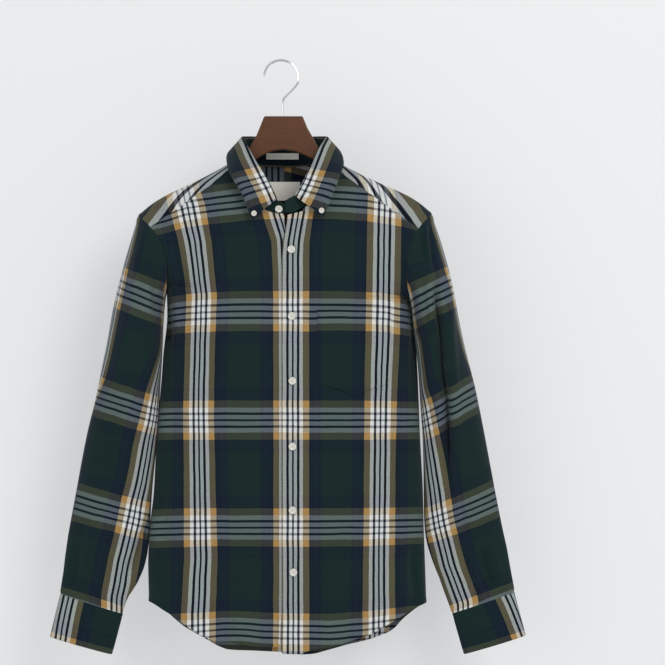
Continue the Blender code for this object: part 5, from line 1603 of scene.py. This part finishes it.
def read_grid(values, x, z):
    """Values of the left front under places seen from the front."""
    px = front_g[..., 0]
    pz = front_g[..., 2]
    out = np.empty(x.shape + (values.shape[2],))
    flat_x, flat_z, flat_v = px.ravel(), pz.ravel(), values.reshape(-1, values.shape[2])
    for i in range(x.shape[0]):
        for j in range(x.shape[1]):
            d = (flat_x - x[i, j]) ** 2 + (flat_z - z[i, j]) ** 2
            pick = np.argpartition(d, 4)[:4]
            wgt = 1.0 / (d[pick] + 0.05)
            out[i, j] = (flat_v[pick] * wgt[:, None]).sum(axis=0) / wgt.sum()
    return out


ti, tj = np.linspace(0, 1, 61), np.linspace(0, 1, 61)
xx = POCKET["x0"] + (POCKET["x1"] - POCKET["x0"]) * ti[None, :] + np.zeros((61, 1))
low_z = POCKET["side"] + (POCKET["point"] - POCKET["side"]) * (1 - np.abs(2 * ti - 1))
zz = low_z[None, :] + (POCKET["top"] - low_z)[None, :] * tj[:, None]
box = (front_g[..., 0] > 40) & (front_g[..., 0] < 190) & (front_g[..., 2] > -545) & (front_g[..., 2] < -370)
keep = np.where(box.any(axis=1))[0]
keepc = np.where(box.any(axis=0))[0]
front_g = front_g[keep[0]:keep[-1] + 1, keepc[0]:keepc[-1] + 1]
f2 = front2[keep[0]:keep[-1] + 1, keepc[0]:keepc[-1] + 1]
fn = front_n[keep[0]:keep[-1] + 1, keepc[0]:keepc[-1] + 1]
got = read_grid(np.concatenate([f2, fn], axis=2), xx, zz)
g = got[..., :3]
n = got[..., 3:]
n /= np.linalg.norm(n, axis=2, keepdims=True)
u, v = front_cloth("left", g)
v = v + 1.2
u = u + 0.6
left_d = (xx - POCKET["x0"])
right_d = (POCKET["x1"] - xx)
low_d = (zz - low_z[None, :]) * 0.93
top_d = POCKET["top"] - zz
edge = np.minimum(np.minimum(left_d, right_d), low_d)
push = 1.5 + 0.7 * np.sqrt(np.clip(np.minimum(edge, top_d) / 1.5, 0, 1)) - 0.5 * np.exp(-((edge - 2.2) / 0.8) ** 2)
push = push - 0.5 * np.exp(-((top_d - 24.0) / 0.9) ** 2) + 0.8 * np.exp(-(top_d / 9.0) ** 2) * np.sin(math.pi * ti)[None, :]
g2 = g + n * push[..., None]
away = np.zeros_like(g2)
away[..., 1] = -1
obj = cloth_piece("pocket_cloth", g2, skin_normals(g2, False, away), u, v, wall=0.9)
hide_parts("pocket")
flat_sizes[obj.name] = obj

# ------------------------------------------------------------------ buttons
def button(name, centre, facing, radius, thick, tilt=0.0):
    """A four-hole shirt button: rim, dish, holes and the thread through them."""
    facing = np.asarray(facing, float)
    facing /= np.linalg.norm(facing)
    side = np.cross(facing, [0, 0, 1.0])
    side /= np.linalg.norm(side)
    up = np.cross(side, facing)
    prof = [(0.0, 0.52), (0.30, 0.52), (0.52, 0.54), (0.60, 0.60), (0.68, 0.78), (0.76, 0.93), (0.84, 1.0), (0.92, 0.97),
            (0.98, 0.82), (1.0, 0.6), (1.0, 0.35), (0.96, 0.15), (0.88, 0.0), (0.0, 0.0)]
    count = 48
    pts, faces = [centre + facing * thick * prof[0][1]], []
    for r, h in prof[1:-1]:
        for k in range(count):
            a = 2 * math.pi * k / count
            pts.append(centre + (side * math.cos(a) + up * math.sin(a)) * r * radius + facing * thick * h)
    pts.append(np.array(centre, float))
    rings = len(prof) - 2
    for k in range(count):
        m = (k + 1) % count
        faces.append((0, 1 + m, 1 + k))
        for r in range(rings - 1):
            a, b = 1 + r * count + k, 1 + r * count + m
            faces.append((a, b, b + count, a + count))
        faces.append((len(pts) - 1, 1 + (rings - 1) * count + k, 1 + (rings - 1) * count + m))
    obj = mesh_object(name + "_face", pts, faces, None, [BUTTON_STUFF])
    obj.data.validate()
    # four holes
    hole_r, off = radius * 0.115, radius * 0.21
    pins, pin_faces, base_i = [], [], 0
    places = []
    for k in range(4):
        a = math.pi / 4 + k * math.pi / 2 + tilt
        c = centre + (side * math.cos(a) + up * math.sin(a)) * off * 1.2
        places.append(c)
        for h in (-1.0, thick + 1.0):
            for m in range(14):
                b = 2 * math.pi * m / 14
                pins.append(c + (side * math.cos(b) + up * math.sin(b)) * hole_r + facing * h)
        for m in range(14):
            j = (m + 1) % 14
            pin_faces.append((base_i + m, base_i + j, base_i + 14 + j, base_i + 14 + m))
        pin_faces.append(tuple(base_i + m for m in range(13, -1, -1)))
        pin_faces.append(tuple(base_i + 14 + m for m in range(14)))
        base_i += 28
    pin = mesh_object(name + "_pins", pins, pin_faces, None, [BUTTON_STUFF], smooth_angle=None)
    cut = obj.modifiers.new("holes", "BOOLEAN")
    cut.operation = "DIFFERENCE"
    cut.solver = "EXACT"
    cut.object = pin
    dg = bpy.context.evaluated_depsgraph_get()
    done = bpy.data.meshes.new_from_object(obj.evaluated_get(dg))
    obj.modifiers.clear()
    obj.data = done
    bpy.data.objects.remove(pin, do_unlink=True)
    obj.data.set_sharp_from_angle(angle=math.radians(42))
    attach(obj, "root")
    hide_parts(name)
    # thread: two pairs of short bars across the holes
    bars, bar_faces = [], []
    for a, b in ((0, 1), (3, 2)):
        p, q = places[a], places[b]
        for shift in (-0.16, 0.16):
            d = q - p
            d = d / np.linalg.norm(d)
            across = np.cross(d, facing)
            line = [p - facing * 0.6 * thick, p + facing * (0.55 * thick), (p + q) / 2 + facing * (0.72 * thick), q + facing * (0.55 * thick), q - facing * 0.6 * thick]
            line = spline(line, 14)
            r0 = radius * 0.045
            start = len(bars)
            for i, c in enumerate(line):
                tdir = line[min(i + 1, 13)] - line[max(i - 1, 0)]
                tdir = tdir / np.linalg.norm(tdir)
                e2 = np.cross(tdir, across)
                for m in range(6):
                    t = 2 * math.pi * m / 6
                    bars.append(c + across * shift + (across * math.cos(t) + e2 * math.sin(t)) * r0)
            for i in range(13):
                for m in range(6):
                    j = (m + 1) % 6
                    bar_faces.append((start + i * 6 + m, start + i * 6 + j, start + (i + 1) * 6 + j, start + (i + 1) * 6 + m))
            bar_faces.append(tuple(start + m for m in range(5, -1, -1)))
            bar_faces.append(tuple(start + 13 * 6 + m for m in range(6)))
    th = mesh_object(name + "_thread", bars, bar_faces, None, [THREAD_STUFF])
    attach(th, "root")
    return obj


for k, b in enumerate(BUTTONS):
    z = b["z"]
    front_y = float(torso("front", min(z, -375.0)))
    w = float(ease((z + 375.0) / (375.0 - 238.0)))
    y = -front_y * (1 - w) - 57.0 * w
    button(b["name"], np.array([b["x"], y - 0.9, z]), (0, -1, 0), b["radius"], 2.6, 0.2 * k)
button("button_stand", np.array([-3.2, -64.4, -233.6]), (-0.1, -1, -0.6), 5.8, 2.4, 0.3)
button("button_collar_right", np.array([-41.5, -72.0, -241.5]), (-0.13, -1, 0.0), 4.3, 2.2, 0.1)
button("button_collar_left", np.array([63.0, -72.0, -237.0]), (0.13, -1, 0.0), 4.3, 2.2, 0.5)

# ------------------------------------------------------------------- labels
def label(node, x0, x1, z0, z1, y, wall):
    xs, zs = np.linspace(x0, x1, 41), np.linspace(z0, z1, 25)
    g = np.array([[[a, y, b] for a in xs] for b in zs])
    tx = (xs - x0) / (x1 - x0)
    tz = (zs - z0) / (z1 - z0)
    bow = 0.25 * np.sin(math.pi * tx)[None, :] * np.sin(math.pi * tz)[:, None]
    g[..., 1] -= bow
    n = np.zeros_like(g)
    n[..., 1] = -1.0
    dist = np.minimum(np.minimum(xs - x0, x1 - xs)[None, :], np.minimum(zs - z0, z1 - zs)[:, None])
    g = g + n * (0.2 * np.clip(dist / 1.0, 0, 1) - 0.15 * np.exp(-((dist - 2.0) / 0.5) ** 2))[..., None]
    u, v = np.meshgrid(xs, zs)
    obj = cloth_piece(node + "_cloth", g, n, u, v, wall=wall, materials=[LABEL_STUFF])
    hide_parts(node)
    flat_sizes[obj.name] = obj


label("label_neck", -23, 28, -215, -185, 43.2, 0.6)
label("label_size", -26, 26, -149.5, -139.5, 37.2, 0.6)

# ------------------------------------------------------------------- hanger
for node, stuff in (("hanger_wood", WOOD_STUFF), ("hanger_hook", HOOK_STUFF)):
    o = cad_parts[node]
    o.data.materials.clear()
    o.data.materials.append(stuff)
    o.data.polygons.foreach_set("use_smooth", np.ones(len(o.data.polygons), bool)) if node == "hanger_hook" else None

# ------------------------------------------------------------------ the cut
# Flat sizes in metres, as cut: width, length and the flat area where the cut
# isn't a rectangle.
CUT = table("name w l area", [
    ("front_right_cloth", 0.27, 0.74, 0.155), ("front_left_cloth", 0.27, 0.74, 0.145), ("placket_cloth", 0.034, 0.70, None),
    ("back_cloth", 0.50, 0.70, 0.31), ("yoke_cloth", 0.49, 0.24, 0.067),
    ("sleeve_right_cloth", 0.42, 0.60, 0.17), ("sleeve_left_cloth", 0.42, 0.60, 0.17),
    ("cuff_right_cloth", 0.22, 0.07, None), ("cuff_left_cloth", 0.22, 0.07, None),
    ("collar_stand_cloth", 0.45, 0.045, 0.0152), ("collar_leaf_cloth", 0.46, 0.07, 0.0242),
    ("pocket_cloth", 0.115, 0.135, 0.0145), ("label_neck_cloth", 0.051, 0.030, None), ("label_size_cloth", 0.052, 0.010, None),
])
for c in CUT:
    obj = flat_sizes[c["name"]]

# -------------------------------------------------------------------- stage
def plane(name, corners, stuff):
    mesh = bpy.data.meshes.new(name)
    mesh.from_pydata(corners, [], [(0, 1, 2, 3)])
    obj = bpy.data.objects.new(name, mesh)
    mesh.materials.append(stuff)
    bpy.context.scene.collection.objects.link(obj)
    return obj


def wall_stuff(name, colour):
    m, t, shader = nodes_of(name)
    shader.inputs["Base Color"].default_value = (*[c * 0.52 for c in colour], 1)
    shader.inputs["Emission Color"].default_value = (0.965, 0.98, 1.0, 1)
    shader.inputs["Emission Strength"].default_value = 0.405
    shader.inputs["Roughness"].default_value = 0.95
    shader.inputs["Specular IOR Level"].default_value = 0.1
    geo = t.nodes.new("ShaderNodeNewGeometry")
    clear = t.nodes.new("ShaderNodeBsdfTransparent")
    pick = t.nodes.new("ShaderNodeMixShader")
    t.links.new(geo.outputs["Backfacing"], pick.inputs[0])
    t.links.new(shader.outputs[0], pick.inputs[1])
    t.links.new(clear.outputs[0], pick.inputs[2])
    t.links.new(pick.outputs[0], t.nodes["Material Output"].inputs["Surface"])
    return m


WALL_Y = 0.16
pale = wall_stuff("pale_wall", (0.80, 0.80, 0.80))
plane("wall", [(-2.2, WALL_Y, -1.25), (2.4, WALL_Y, -1.25), (2.4, WALL_Y, 1.4), (-2.2, WALL_Y, 1.4)], pale)
plane("floor", [(-4, -4, -1.25), (4, -4, -1.25), (4, 4, -1.25), (-4, 4, -1.25)], wall_stuff("pale_floor", (0.88, 0.88, 0.88)))

world = bpy.data.worlds.new("soft")
world.use_nodes = True
bpy.context.scene.world = world
back = world.node_tree.nodes["Background"]
back.inputs["Color"].default_value = (0.95, 0.97, 1.0, 1)
back.inputs["Strength"].default_value = 0.64


def lamp(name, place, target, size, power, colour=(1, 1, 1)):
    data = bpy.data.lights.new(name, "AREA")
    data.shape = "DISK"
    data.size = size
    data.energy = power
    data.color = colour
    obj = bpy.data.objects.new(name, data)
    bpy.context.scene.collection.objects.link(obj)
    place, target = np.array(place, float), np.array(target, float)
    from mathutils import Vector
    obj.location = place
    obj.rotation_euler = Vector(target - place).to_track_quat("-Z", "Y").to_euler()
    return obj


lamp("key", (1.6, -3.1, 1.3), (0.0, 0.0, -0.45), 1.8, 60.0, (1.0, 0.985, 0.96))
lamp("fill", (-2.2, -3.4, -0.6), (0.0, 0.0, -0.6), 2.8, 26.0, (0.95, 0.98, 1.0))

camera = bpy.data.cameras.new("camera")
camera.sensor_width = 36.0
camera.lens = 120.7
camera.clip_end = 50.0
eye = bpy.data.objects.new("camera", camera)
bpy.context.scene.collection.objects.link(eye)
eye.location = (0.0816, -3.53, -0.4295)
eye.rotation_euler = (math.pi / 2, 0.0, 0.0)
bpy.context.scene.camera = eye
bpy.context.scene.view_settings.view_transform = "Standard"
bpy.context.scene.view_settings.look = "None"
